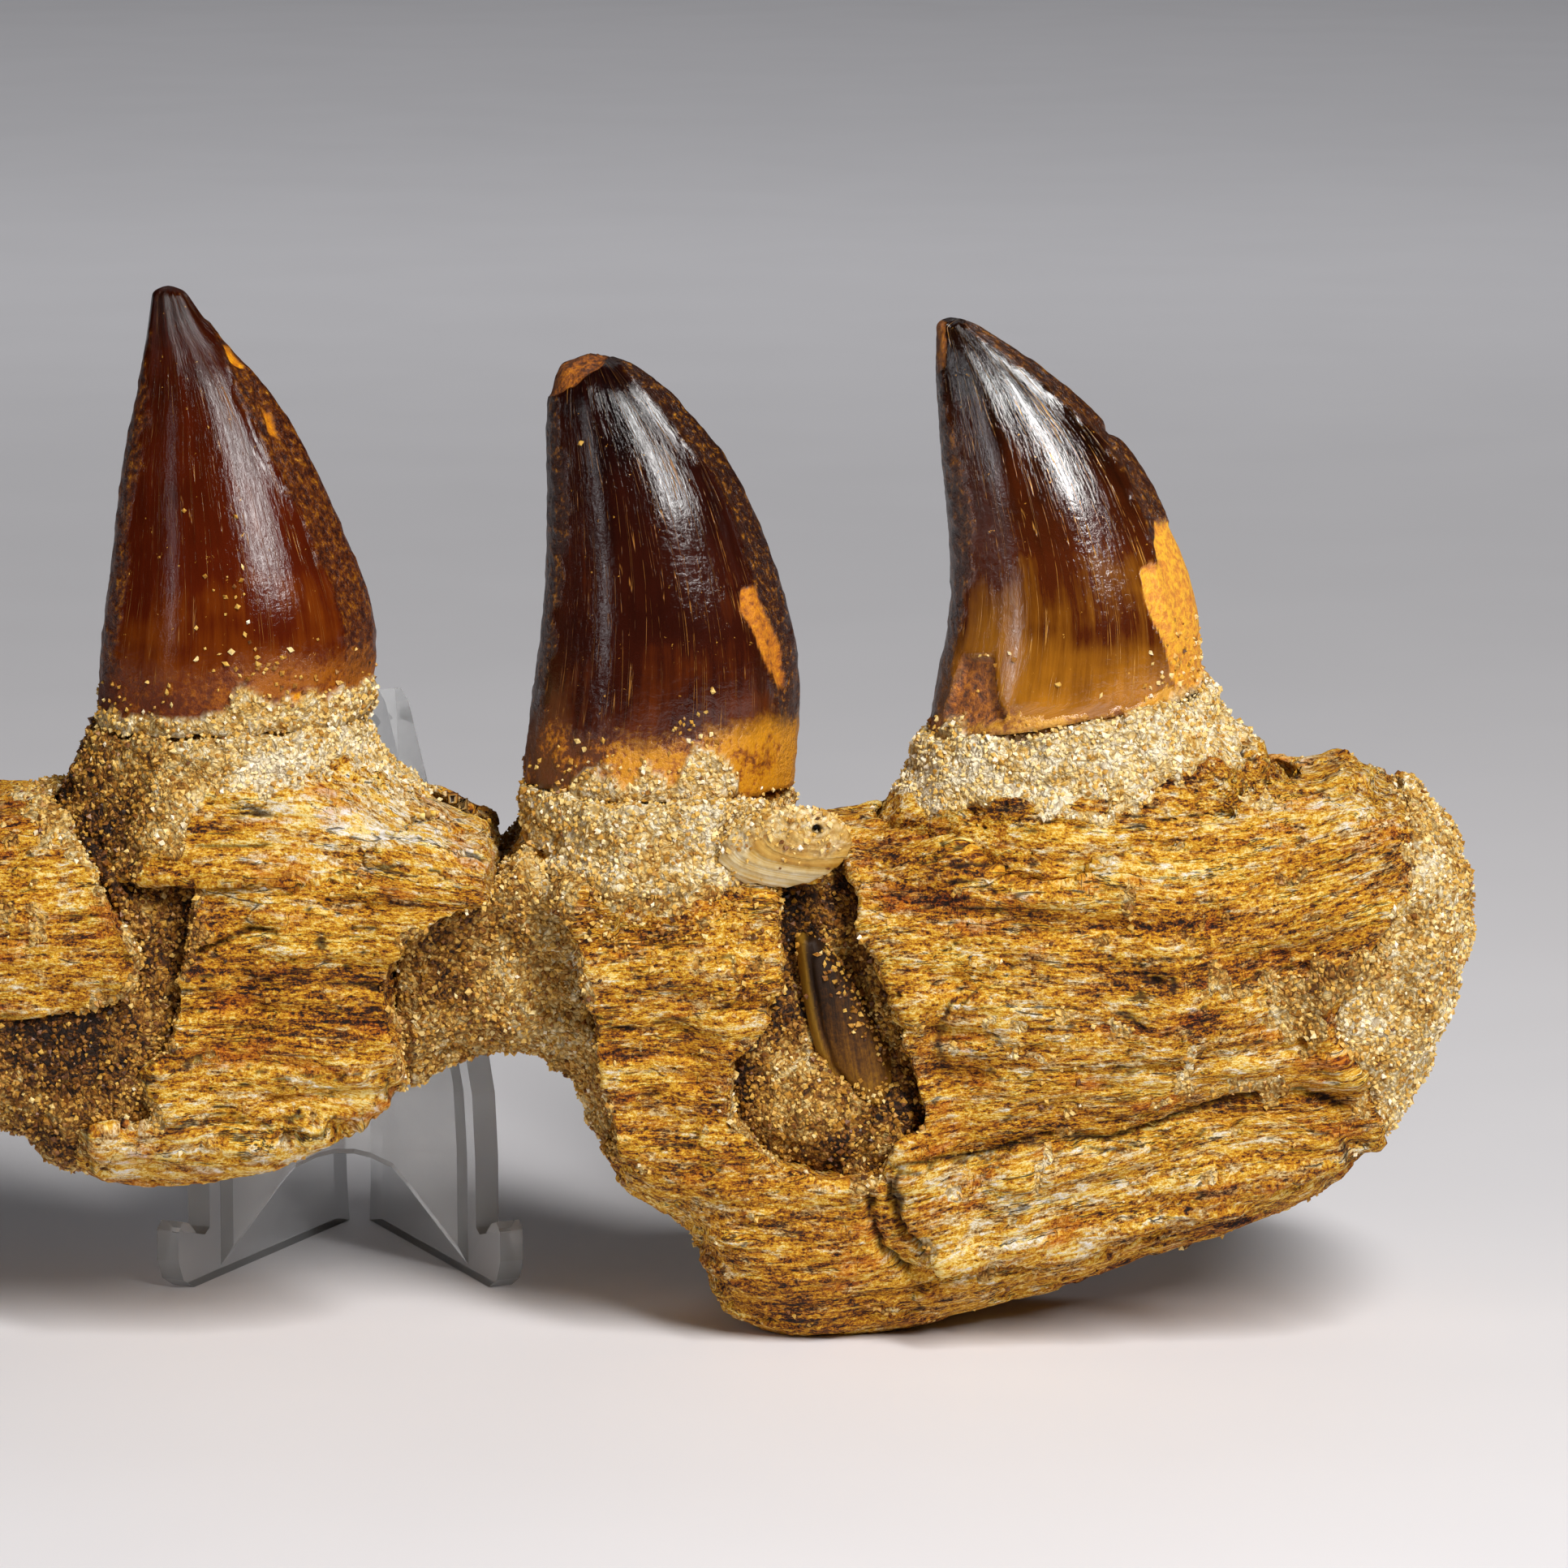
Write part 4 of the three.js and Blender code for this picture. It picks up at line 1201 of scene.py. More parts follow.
@dataclass
class GrainField:
    """Loose sand grains, gathered from the skins that carry them and laid in a few joined pieces."""

    finish: LooseGrain = LooseGrain("loose_sand")
    seed: int = 7
    spacing: float = 0.57
    radius: tuple[float, float] = (0.18, 0.38)
    mostly_small: float = 1.6
    flattened: tuple[float, float] = (0.6, 1.3)
    jitter: float = 0.13
    lift: float = 0.03
    middle_tone: float = 0.53
    follows_ground: float = 0.3
    own_tone: float = 0.17
    borders: tuple[float, ...] = (-38.0, -8.0, 20.0)
    names: tuple[str, ...] = ("grains_left", "grains_bridge", "grains_middle", "grains_right")
    places: list[Array] = field(default_factory=list)
    tones: list[Array] = field(default_factory=list)

    def gather(self, skin: Skin, share: Array, tone: Array) -> None:
        """Picks where grains sit on a skin.

        Args:
            skin: The finished skin.
            share: The chance of a grain at each point.
            tone: How pale the ground is at each point.
        """
        rng = np.random.default_rng(self.seed + len(self.places))
        order = rng.permutation(len(skin.points))
        cells = np.floor(skin.points[order] / self.spacing).astype(np.int64)
        _, first = np.unique(cells, axis=0, return_index=True)
        chosen = order[first]
        chosen = chosen[rng.random(len(chosen)) < share[chosen]]
        aside = rng.normal(0.0, self.jitter, (len(chosen), 3))
        aside -= skin.outward[chosen] * (aside * skin.outward[chosen]).sum(axis=1, keepdims=True)
        self.places.append(skin.points[chosen] + aside + skin.outward[chosen] * self.lift)
        self.tones.append(tone[chosen])

    def build(self) -> None:
        """Makes the joined pieces."""
        places, tones = np.concatenate(self.places), np.concatenate(self.tones)
        material = self.finish.build()
        strip = np.searchsorted(self.borders, places[:, 0])
        for number, name in enumerate(self.names):
            piece = self.joined(places[strip == number], tones[strip == number], name, number)
            hand_over(piece, material, "sandy_matrix")

    def joined(self, places: Array, tones: Array, name: str, number: int) -> bpy.types.Object:
        """Joins one strip's grains into a piece.

        Args:
            places: The grains' middles in jaw millimetres.
            tones: How pale the ground is under each.
            name: The piece's name.
            number: The strip's number, for its own random turn.

        Returns:
            The piece.
        """
        rng = np.random.default_rng(self.seed * 100 + number)
        pebble = bmesh.new()
        bmesh.ops.create_uvsphere(pebble, u_segments=4, v_segments=2, radius=1.0)
        corners = np.array([vertex.co for vertex in pebble.verts])
        faces = np.array([[vertex.index for vertex in face.verts] for face in pebble.faces])
        pebble.free()
        count = len(places)
        axes = np.linalg.qr(rng.normal(size=(count, 3, 3)))[0]
        axes *= np.sign(np.linalg.det(axes))[:, None, None]
        low, high = self.radius
        sizes = low + (high - low) * rng.random((count, 1, 1)) ** self.mostly_small
        sizes = sizes * rng.uniform(*self.flattened, size=(count, 1, 3))
        points = (corners[None] * sizes) @ axes + places[:, None]
        points[..., 2] = np.maximum(points[..., 2], TABLE_CLEARANCE)
        index = faces[None] + (np.arange(count) * len(corners))[:, None, None]
        mesh = bpy.data.meshes.new(name)
        mesh.from_pydata(to_frame(points.reshape(-1, 3)), [], index.reshape(-1, 3).tolist())
        own = self.middle_tone + self.follows_ground * tones + rng.normal(0.0, self.own_tone, count)
        store(mesh, "tone", np.repeat(np.clip(own, 0.02, 1.0), len(corners)))
        return stand(mesh, name)


# ---------------------------------------------------------------- bone and matrix


@dataclass
class RoughPiece:
    """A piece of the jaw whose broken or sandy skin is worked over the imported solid."""

    node: str
    slot: str
    voxel: float = 0.44
    rounds: int = 3
    grown: float = 0.0
    split_depth: float = 0.55
    crack_depth: float = 1.0
    crack_width: float = 0.55
    hidden_by_sand: float = 0.75
    sandiness: float = 0.75
    grain: Grain = Grain()
    lumps: Noise = Noise(71)
    edge: Noise = Noise(83)

    def build(self, bench: Bench, material: bpy.types.Material, grains: GrainField) -> None:
        """Makes the piece.

        Args:
            bench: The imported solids.
            material: The piece's material.
            grains: Where its loose grains are gathered.
        """
        piece = bench.copy_of(self.node, self.node + "_skin")
        refine(piece, self.voxel, self.rounds)
        skin = Skin(piece)
        flow = self.grain.flow(skin.points)
        sand, tone = self.sand(skin.points), self.tone(skin.points)
        split = self.grain.split(flow) * (1.0 - ease(sand, 0.2, 0.7))
        relief, raised, flake = self.grain.height(flow)
        front, broken, plated = self.front_relief(skin)
        crust = self.crust(skin.points)
        before = skin.points.copy()
        banked = self.bank(skin.points)
        fibres = (relief - self.split_depth * split + front) * (1.0 - self.hidden_by_sand * sand)
        skin.push(self.grown + banked + fibres + crust * sand)
        skin.keep("flow", flow)
        skin.keep("relief", np.clip(raised, -1.0, 1.0))
        skin.keep("flake", flake)
        # The splits, the cracks and, as painted shadow with dirt, the flakes' edges are stored together as
        # split.
        skin.keep("split", np.maximum(split, 0.8 * broken * (1.0 - sand)))
        skin.keep("sand", sand)
        skin.keep("tone", tone + 0.3 * plated)
        grains.gather(skin, self.grain_share(before, sand), tone)
        hand_over(piece, material, self.slot, self.node)

    def bank(self, points: Array) -> Array:
        """How far the ground is banked up against its neighbour, in millimetres."""
        return np.zeros(len(points))

    def crust(self, points: Array) -> Array:
        """How far the sandy crust stands out.

        Args:
            points: Places in jaw millimetres, one a row.

        Returns:
            Millimetres outwards at each.
        """
        return (
            0.12
            + 0.3 * self.lumps(points / 3.1)
            + 0.2 * self.lumps(points / 1.5 + 9)
            + 0.13 * self.lumps(points / 0.8 + 5)
        )

    def front_relief(self, skin: Skin) -> tuple[Array, Array, Array]:
        """Named ledges, pits and cracks, which are only on the front.

        Args:
            skin: The piece's skin.

        Returns:
            The height in millimetres, where it breaks off and is darkened (along the flakes' edges as
            painted shadow with dirt), and where a flake stands proud.
        """
        x, y, z = skin.points.T
        facing = ease(-skin.outward[:, 1], 0.1, 0.5) * ease(-y, 2.0, 5.0)
        ragged = 0.5 * self.edge(skin.points / 2.4) + 0.3 * self.edge(skin.points / 0.9)
        covers = [plate.cover(x, z, ragged) for plate in PLATES]
        height = sum(plate.height * cover for plate, cover in zip(PLATES, covers))
        height = height - sum(pit.over(x, z) for pit in PITS)
        # Each flake's sloping edge is marked dark: painted shadow under and above the flake, with dirt.
        broken = np.max([4.0 * cover * (1.0 - cover) for cover in covers], axis=0)
        for crack in CRACKS:
            gash = ease(self.crack_width - distance_to(x + 0.6 * ragged, z, crack), 0.0, 0.5)
            height = height - self.crack_depth * gash
            broken = np.maximum(broken, gash)
        broken = np.max([broken, *(speck.over(x, z) for speck in SPECKS)], axis=0)
        return height * facing, broken * facing, np.max(covers, axis=0) * facing

    def tone(self, points: Array) -> Array:
        """How pale or how rusty the ground is.

        Args:
            points: Places in jaw millimetres, one a row.

        Returns:
            From above 1, the palest, down to about -1, the rustiest.
        """
        x, _, z = points.T
        named = sum(spot.over(x, z) for spot in TONES)
        return np.clip(named + 0.25 * self.edge(points / 9 + 30), -1.2, 2.4)

    def sand(self, points: Array) -> Array:
        """How much of the ground is sand, from 0 to 1."""
        return np.ones(len(points))

    def grain_share(self, points: Array, sand: Array) -> Array:
        """The chance of a loose grain at each point."""
        return sand * self.sandiness

    def ragged(self, points: Array) -> Array:
        """How far the sand's edge strays at each point, in millimetres."""
        return 1.2 * self.edge(points / 2.6 + 3) + 0.7 * self.edge(points)

    def above_sand_edge(self, points: Array, ragged: Array) -> Array:
        """How far each point is in the sand along the top, from 0 to 1."""
        line = height_at(SAND_EDGE, points[:, 0]) + ragged
        return ease(points[:, 2], line - 0.5, line + 0.5)


@dataclass
class BoneBlock(RoughPiece):
    """A block of bone: split fibres, with sand along its top and where it meets the matrix."""

    hollows: tuple[Spot, ...] = (Spot((46.5, 32), (4.5, 4.5), 1.0), Spot((42.5, 24.8), (7, 1.3), 1.0))

    def sand(self, points: Array) -> Array:
        """Sand lies along the top, in the seams and in a few hollows.

        Args:
            points: Places in jaw millimetres, one a row.

        Returns:
            How much of the ground is sand at each, from 0 to 1.
        """
        x, y, z = points.T
        ragged = self.ragged(points)
        share = self.above_sand_edge(points, ragged)
        seams = (VALLEY_BORDER, HOLLOW_BORDER, BRIDGE_LEFT, BRIDGE_RIGHT, RIGHT_END)
        seam = np.min([distance_to(x, z, border) for border in seams], axis=0)
        share = np.maximum(share, ease(0.8 + 0.9 * ragged - seam, 0.0, 0.8))
        share = np.maximum(share, ease(0.1 + 0.5 * ragged - distance_to(x, z, POCKET), 0.0, 0.5))
        hollows = sum(hollow.over(x, z) for hollow in self.hollows)
        return np.maximum(share, 0.8 * ease(hollows + 0.45 * ragged, 0.5, 0.7) * (y < 0))

    def bank(self, points: Array) -> Array:
        """The bone swells out under the overhanging cement and beside the matrix at the right end.

        Args:
            points: Places in jaw millimetres, one a row.

        Returns:
            How far it stands out at each, in millimetres.
        """
        x, y, z = points.T
        under_teeth = sum(swelling.at(x, z) for swelling in SWELLINGS)
        end = 0.8 * ease(3.0 - distance_to(x, z, RIGHT_END), 0, 2)
        return (under_teeth + end) * ease(-y, 8, 11)

    def grain_share(self, points: Array, sand: Array) -> Array:
        """Grains cover the sand and are sprinkled on the bone beside the middle tooth.

        Args:
            points: Places in jaw millimetres, one a row.
            sand: How much of the ground is sand at each.

        Returns:
            The chance of a loose grain at each.
        """
        x, _, z = points.T
        sprinkled = 0.6 * ease(z, 30, 42) * ease(x, -21, -17) * ease(2 - x, 0, 3)
        stray = 0.006 + 0.07 * ease(self.edge(points / 4.0), 0.4, 0.8)
        return np.maximum(sand * self.sandiness, np.maximum(sprinkled, stray))


@dataclass
class MatrixPad(RoughPiece):
    """Sandy matrix: gritty, darkened to brown by painted shade in the hollows, and pale where it is fine."""

    # How much paler, above 0, or darker the whole pad is; the dark settings are painted shade in a hollow.
    shade: float = 0.0
    grown: float = 0.3

    def crust(self, points: Array) -> Array:
        """The matrix is lumpier than the thin crust on the bone."""
        return 1.3 * RoughPiece.crust(self, points) + 0.25 * self.lumps(points / 5.5 + 2)

    def tone(self, points: Array) -> Array:
        """Darkened to brown by painted shade in the hollows, pale where the sand is fine."""
        return np.clip(self.shade + 0.5 * self.edge(points / 4.5 + 30), -1.3, 1.2)


@dataclass
class Bridge(MatrixPad):
    """The matrix between the two blocks of bone: coarse and bright above, fine and tan below."""

    dark_gaps: Spot = Spot((-31, 35), (3, 5), -0.6)
    fine_patch: Spot = Spot((-22, 27), (5, 7), 0.25)

    def tone(self, points: Array) -> Array:
        """Bright above, with dark gaps on the left.

        Args:
            points: Places in jaw millimetres, one a row.

        Returns:
            How pale the sand is at each.
        """
        x, _, z = points.T
        bright = 0.5 * ease(z, 40, 48) + self.dark_gaps.over(x, z) + self.fine_patch.over(x, z)
        return np.clip(bright + 0.3 * self.edge(points / 3.5 + 30), -1.2, 1.2)


@dataclass
class Pocket(MatrixPad):
    """The matrix in the open socket: darkened at the back by painted shade under the shell, with a golden
    lump below.
    """

    lump: Spot = Spot((2.6, 21.5), (8, 6.5), 0.42)
    packed: Spot = Spot((10.0, 20.5), (2.4, 5), 1.3)

    def tone(self, points: Array) -> Array:
        """Golden on the lump."""
        x, _, z = points.T
        return MatrixPad.tone(self, points) + self.lump.over(x, z)

    def bank(self, points: Array) -> Array:
        """Sand is packed in on the lump's right."""
        x, _, z = points.T
        return self.packed.over(x, z)


@dataclass
class Base(MatrixPad):
    """The pale sandy cement round the foot of a tooth, dirtier on its left, with bone below."""

    middle: float = 0.0
    paler: float = -0.5
    brighter: float = 0.95
    grown: float = -0.25

    def sand(self, points: Array) -> Array:
        """Sand above the bone's own edge."""
        return self.above_sand_edge(points, self.ragged(points))

    def bank(self, points: Array) -> Array:
        """Its lower edge is pressed down on the bone."""
        return 0.7 * ease(45.6 - points[:, 2], 0.0, 1.0)

    def tone(self, points: Array) -> Array:
        """Cream on the right and brown on the left, and like the bone beside it below.

        Args:
            points: Places in jaw millimetres, one a row.

        Returns:
            How pale the ground is at each.
        """
        side = ease(points[:, 0] - self.middle, -14, 4)
        tone = self.paler + self.brighter * side + 0.35 * self.edge(points / 3.0 + 30)
        sand = self.sand(points)
        return sand * np.clip(tone, -1.2, 1.2) + (1.0 - sand) * RoughPiece.tone(self, points)


@dataclass
class Jaw:
    """The bone, its matrix and the cement under the teeth."""

    finish: RoughGround = RoughGround("bone_and_sand")
    pieces: tuple[RoughPiece, ...] = (
        BoneBlock("jaw_bone_left", "jaw_bone"),
        BoneBlock("jaw_bone_right", "jaw_bone", voxel=0.46),
        # The valley and the socket are darkened by their shade, and their loose grains with them: painted
        # shade in the hollows.
        MatrixPad("matrix_valley", "sandy_matrix", shade=-0.75),
        Bridge("matrix_bridge", "sandy_matrix"),
        Pocket("matrix_pocket", "sandy_matrix", voxel=0.36, shade=-0.7),
        MatrixPad("matrix_right_end", "sandy_matrix", shade=0.4, grown=0.1),
        Base("tooth_left_base", "tooth_base", middle=-50.0, paler=-0.6, brighter=1.35),
        Base("tooth_middle_base", "tooth_base", middle=-22.0),
        Base("tooth_right_base", "tooth_base", middle=8.0, paler=-0.15),
    )

    def build(self, bench: Bench, grains: GrainField) -> None:
        """Makes every piece.

        Args:
            bench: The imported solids.
            grains: Where the loose grains are gathered.
        """
        material = self.finish.build()
        for piece in self.pieces:
            piece.build(bench, material, grains)


# ---------------------------------------------------------------- teeth


@dataclass(frozen=True)
class Chip:
    """A place on a crown where the enamel is gone, outlined on the front drawing."""

    outline: Line
    pale: float
    depth: float = 0.28


@dataclass(frozen=True)
class CrownMarks:
    """What shows where on a crown: its place on the drawing and each mark, point by point.

    Front, stain and foot go from 0 to 1, and pale too. Climb is how far below the sand's edge a
    point is, and bare how deep its enamel is gone, both in millimetres.
    """

    u: Array
    v: Array
    front: Array
    stain: Array
    foot: Array
    climb: Array
    bare: Array
    pale: Array

    @property
    def sand(self) -> Array:
        """How much of the ground is sand, from 0 to 1."""
        return ease(self.climb, -0.2, 0.4)


@dataclass
class Crown:
    """A tooth's crown: glossy enamel with dull edges, chips and a stained foot."""

    node: str
    finish: Enamel
    left_strip: Line
    right_strip: Line
    foot: Line
    sand_line: Line
    foot_fade: float = 1.0
    chips: tuple[Chip, ...] = ()
    notches: tuple[Spot, ...] = ()
    stuck: tuple[Spot, ...] = ()
    levels: int = 3
    foot_below: float = 62.0
    foot_turn: float = 0.9
    nominal_radius: float = 11.0
    shelves: int = 26
    carina: float = 0.22
    carina_width: float = 0.45
    rough: Noise = Noise(101)

    def build(self, bench: Bench, grains: GrainField) -> None:
        """Makes the crown.

        Args:
            bench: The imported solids.
            grains: Where the grains that climb its foot are gathered.
        """
        piece = bench.copy_of(self.node, self.node + "_enamel")
        self.smooth_out(piece)
        skin = Skin(piece)
        tooth, marks = self.growth_of(skin.points), self.marks_on(skin)
        skin.push(self.relief(skin.points, tooth, marks))
        skin.keep("tooth", tooth)
        skin.keep("marks", np.stack((marks.stain, np.clip(marks.bare * 5, 0, 1), marks.foot), axis=1))
        skin.keep("bare_tone", marks.pale)
        skin.keep("sand", marks.sand)
        stray = 0.2 * ease(marks.climb, -2.2, -0.2) + 0.05 * ease(marks.climb, -6.0, -2.0)
        stuck = sum(spot.over(marks.u, marks.v) for spot in self.stuck) * marks.front
        tone = 0.5 * marks.sand + 0.3 * self.rough(skin.points / 2.5)
        grains.gather(skin, np.maximum(0.8 * marks.sand, stray + stuck), tone)
        hand_over(piece, self.finish.build(), "tooth_enamel", self.node)

    def marks_on(self, skin: Skin) -> CrownMarks:
        """Finds the crown's marks.

        Args:
            skin: The crown's skin, before it is worked.

        Returns:
            The marks.
        """
        u, v = on_drawing(skin.points)
        ragged = 0.35 * self.rough(skin.points / 1.6) + 0.2 * self.rough(skin.points / 0.7)
        front = ease(-skin.outward[:, 1], -0.35, -0.05)
        left = ease(across_at(self.left_strip, v) - u + ragged, -0.3, 0.5)
        right = ease(u - across_at(self.right_strip, v) + ragged, -0.3, 0.5)
        foot = ease(height_at(self.foot, u) - v + 1.2 * ragged, -self.foot_fade, self.foot_fade)
        climb = height_at(self.sand_line, u) - v + 1.6 * ragged + 0.4 * self.rough(skin.points / 0.9 + 7)
        bare, pale = self.chipped(u, v, ragged, front)
        return CrownMarks(u, v, front, np.maximum(left, right), foot, climb, bare, pale)

    def relief(self, points: Array, tooth: Array, marks: CrownMarks) -> Array:
        """How far the skin stands out: flutes, the cutting ridge, wear, nicks, chips and sand.

        Args:
            points: Places in jaw millimetres, one a row.
            tooth: Each one's place on the tooth.
            marks: The crown's marks.

        Returns:
            Millimetres outwards at each.
        """
        nicks = sum(notch.over(marks.u, marks.v) for notch in self.notches)
        from_ridge = distance_to(marks.u, marks.v, self.right_strip) / self.carina_width
        ridge = self.carina * np.exp(-(from_ridge**2)) * marks.front
        worn = marks.stain * (1 - marks.bare) * 0.1 * self.rough.layered(points / 1.1, 2)
        flutes = 0.05 * np.sin(tooth[:, 0] * 0.9) + 0.05 * self.rough(points / 6)
        uneven = 0.1 * marks.foot * self.rough(points / 1.2)
        crust = marks.sand * (0.35 + 0.2 * self.rough(points / 1.3 + 3))
        return flutes + ridge + worn - nicks + uneven - marks.bare * (1 - marks.sand) + crust

    def smooth_out(self, piece: bpy.types.Object) -> None:
        """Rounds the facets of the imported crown, and keeps the edge of its foot.

        Args:
            piece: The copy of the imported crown.
        """
        shape = bmesh.new()
        shape.from_mesh(piece.data)
        bmesh.ops.join_triangles(
            shape, faces=shape.faces[:], cmp_seam=False, cmp_sharp=False, cmp_uvs=False, cmp_vcols=False,
            cmp_materials=False, angle_face_threshold=0.6, angle_shape_threshold=1.2,
        )
        crease = shape.edges.layers.float.new("crease_edge")
        for edge in shape.edges:
            top = max(vertex.co.z for vertex in edge.verts)
            if edge.calc_face_angle(0.0) > self.foot_turn and top < self.foot_below * MM:
                edge[crease] = 1.0
        shape.to_mesh(piece.data)
        shape.free()
        rounding = piece.modifiers.new("rounding", "SUBSURF")
        rounding.levels = rounding.render_levels = self.levels
        settle(piece)

    def growth_of(self, points: Array) -> Array:
        """Finds each point's place on the tooth, round the middle line of its own height.

        Args:
            points: Places in jaw millimetres, one a row.

        Returns:
            How far round and how far up each is in millimetres, and its share of the height.
        """
        x, y, z = points.T
        low, high = z.min(), z.max()
        shelf = np.linspace(low, high, self.shelves)
        which = np.clip(np.digitize(z, shelf) - 1, 0, len(shelf) - 2)
        middle = (shelf[:-1] + shelf[1:]) / 2
        centres = []
        for axis in (x, y):
            spans = [(axis[which == k].min() + axis[which == k].max()) / 2 for k in range(len(middle))]
            centres.append(np.interp(z, middle, spans))
        around = np.arctan2(y - centres[1], x - centres[0]) + math.pi / 2
        around = (around + math.pi) % (2 * math.pi) - math.pi
        return np.stack((around * self.nominal_radius, z - low, (z - low) / (high - low)), axis=1)

    def chipped(self, u: Array, v: Array, ragged: Array, front: Array) -> tuple[Array, Array]:
        """Finds where the enamel is gone.

        Args:
            u: How far right each point shows on the drawing.
            v: How far up each point shows on the drawing.
            ragged: How far an edge strays at each.
            front: Whether each is on the front, from 0 to 1.

        Returns:
            How deep the enamel is gone at each, and how pale the tooth shows there.
        """
        bare, pale = np.zeros(len(u)), np.zeros(len(u))
        for chip in self.chips:
            share = ease(depth_in(u, v, chip.outline) + 0.35 * ragged, -0.12, 0.22) * front
            bare = np.maximum(bare, chip.depth * share)
            pale = np.where(share > 0.02, chip.pale, pale)
        return bare, pale


@dataclass
class Buried:
    """The side of a replacement tooth that shows in the open socket."""

    node: str = "embedded_tooth"
    finish: BuriedTooth = BuriedTooth("buried_tooth")
    voxel: float = 0.26
    rounds: int = 6
    left_edge: Line = ((7.4, 22.8), (5.6, 24), (3.6, 26.5), (2.5, 30), (1.8, 34), (1.3, 38))
    bared: Line = ((6.0, 23), (5.4, 26), (3.5, 31), (1.5, 36))
    strip_width: float = 0.8
    groove_width: float = 0.18
    groove_depth: float = 0.25
    rib_height: float = 0.018
    rough: Noise = Noise(9)

    def build(self, bench: Bench, grains: GrainField) -> None:
        """Makes the piece.

        Args:
            bench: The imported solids.
            grains: Where the sand on its right side is gathered.
        """
        piece = bench.copy_of(self.node, "embedded_tooth_blade")
        refine(piece, self.voxel, self.rounds)
        skin = Skin(piece)
        x, _, z = skin.points.T
        across = x - across_at(self.left_edge, z)
        strip = ease(self.strip_width - across, 0.0, 0.2)
        groove = np.exp(-(((across - 1.0) / self.groove_width) ** 2))
        ribs = self.rib_height * np.sin(across * 5.2 + 0.6 * np.sin(z * 0.4))
        skin.push(0.25 + 0.12 * strip - self.groove_depth * groove + ribs * (1 - strip))
        height = (z - z.min()) / (z.max() - z.min())
        skin.keep("tooth", np.stack((x + 0.16 * z, z, height), axis=1))
        skin.keep("edge", strip * 0.6)
        ragged = 0.8 * self.rough(skin.points / 0.9)
        buried = ease(across - across_at(self.bared, z) + ragged, 0.0, 0.6)
        buried = np.maximum(buried, ease(25.4 - z + ragged, 0.0, 0.6))
        # The grains are darker above, as painted shade under the shell, and golden below on the lump.
        grains.gather(skin, 0.02 + 0.9 * buried, -0.6 + 0.6 * ease(27 - z, 0, 3))
        hand_over(piece, self.finish.build(), "embedded_tooth", self.node)


@dataclass
class Shell:
    """A broken shell stuck on the jaw above the socket, with a small bored hole."""

    node: str = "shell_fragment"
    finish: OldShell = OldShell("old_shell")
    voxel: float = 0.2
    rounds: int = 8
    shift: tuple[float, float, float] = (-0.5, 0.0, 0.7)
    hinge: tuple[float, float] = (3.1, -4.3)
    spacing: float = 0.85
    hole_radius: float = 0.62
    rough: Noise = Noise(131)

    def build(self, bench: Bench, grains: GrainField) -> None:
        """Makes the shell.

        Args:
            bench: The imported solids.
            grains: Where its loose grains are gathered.
        """
        piece = bench.copy_of(self.node, "shell_fragment_valve")
        refine(piece, self.voxel, self.rounds)
        skin = Skin(piece)
        skin.points += self.shift
        u, v = on_drawing(skin.points)
        du, dv = u - self.hinge[0], v - self.hinge[1]
        growth = np.hypot(du * 0.62, dv * 1.25) + 0.15 * self.rough(skin.points / 2)
        saw = (growth / self.spacing) % 1.0
        hole = ease(self.hole_radius - np.hypot(du, dv), 0.0, 0.3)
        rim = ease(growth, 4.3, 4.8)
        patchy = self.rough(skin.points / 1.3) * 0.8
        above = ease(-du * 0.5 + dv * 1.6 + patchy, 0.2, 1.4)
        cover = np.maximum(above, 0.6 * ease(3.2 - growth + patchy, 0.0, 1.0))
        skin.push(0.16 * saw * (1 - cover) + 0.12 * cover * self.rough(skin.points / 0.7) - 1.1 * hole)
        skin.keep("growth", growth)
        skin.keep("rim", rim)
        skin.keep("hole", hole)
        skin.keep("sand", cover * 0.85)
        grains.gather(skin, 0.75 * cover + 0.05, np.full(len(cover), 0.3))
        hand_over(piece, self.finish.build(), "shell", self.node)


LEFT_CROWN = Crown(
    node="tooth_left_crown",
    finish=Enamel(
        "red_enamel", dark="200702", middle="4c1605", glow="84400b", line="94602a", fades=0.35,
        strip="64300a", foot_dark="5a2306", foot_middle="7a3a06", foot_light="985409", shine=0.26,
    ),
    left_strip=((-58.9, 34.1), (-60.1, 25.1), (-60.9, 19.5), (-61.5, 12.4)),
    right_strip=((-53.2, 42.5), (-51.0, 37.3), (-48.8, 31.9), (-46.2, 27.4), (-43.9, 22.9), (-42.0, 17.8),
                 (-40.9, 13.8)),
    foot=((-66, 10.4), (-60.1, 9.2), (-55.8, 9.0), (-51.6, 10.2), (-48.2, 10.9), (-42.4, 11.2), (-36, 12)),
    foot_fade=3.0,
    sand_line=((-70, 6.0), (-60.1, 6.2), (-55.8, 6.4), (-51.6, 7.4), (-50.2, 9.4), (-48.6, 8.2),
               (-45.6, 7.6), (-42.4, 8.7), (-38.7, 9.4), (-34, 9.4)),
    chips=(
        Chip(((-51.9, 40.6), (-50.6, 39.6), (-50.0, 38.6), (-51.2, 39.0)), 0.7, 0.25),
        Chip(((-48.3, 34.8), (-47.3, 34.4), (-46.6, 32.0), (-47.6, 32.4)), 0.6, 0.2),
        Chip(((-45.8, 8.2), (-44.6, 8.4), (-44.2, 7.4), (-45.0, 6.7), (-45.8, 7.2)), 0.75, 0.3),
    ),
    stuck=(Spot((-52.2, 17.5), (2.2, 6.0), 0.14), Spot((-48.8, 10.4), (2.4, 2.0), 0.45)),
)
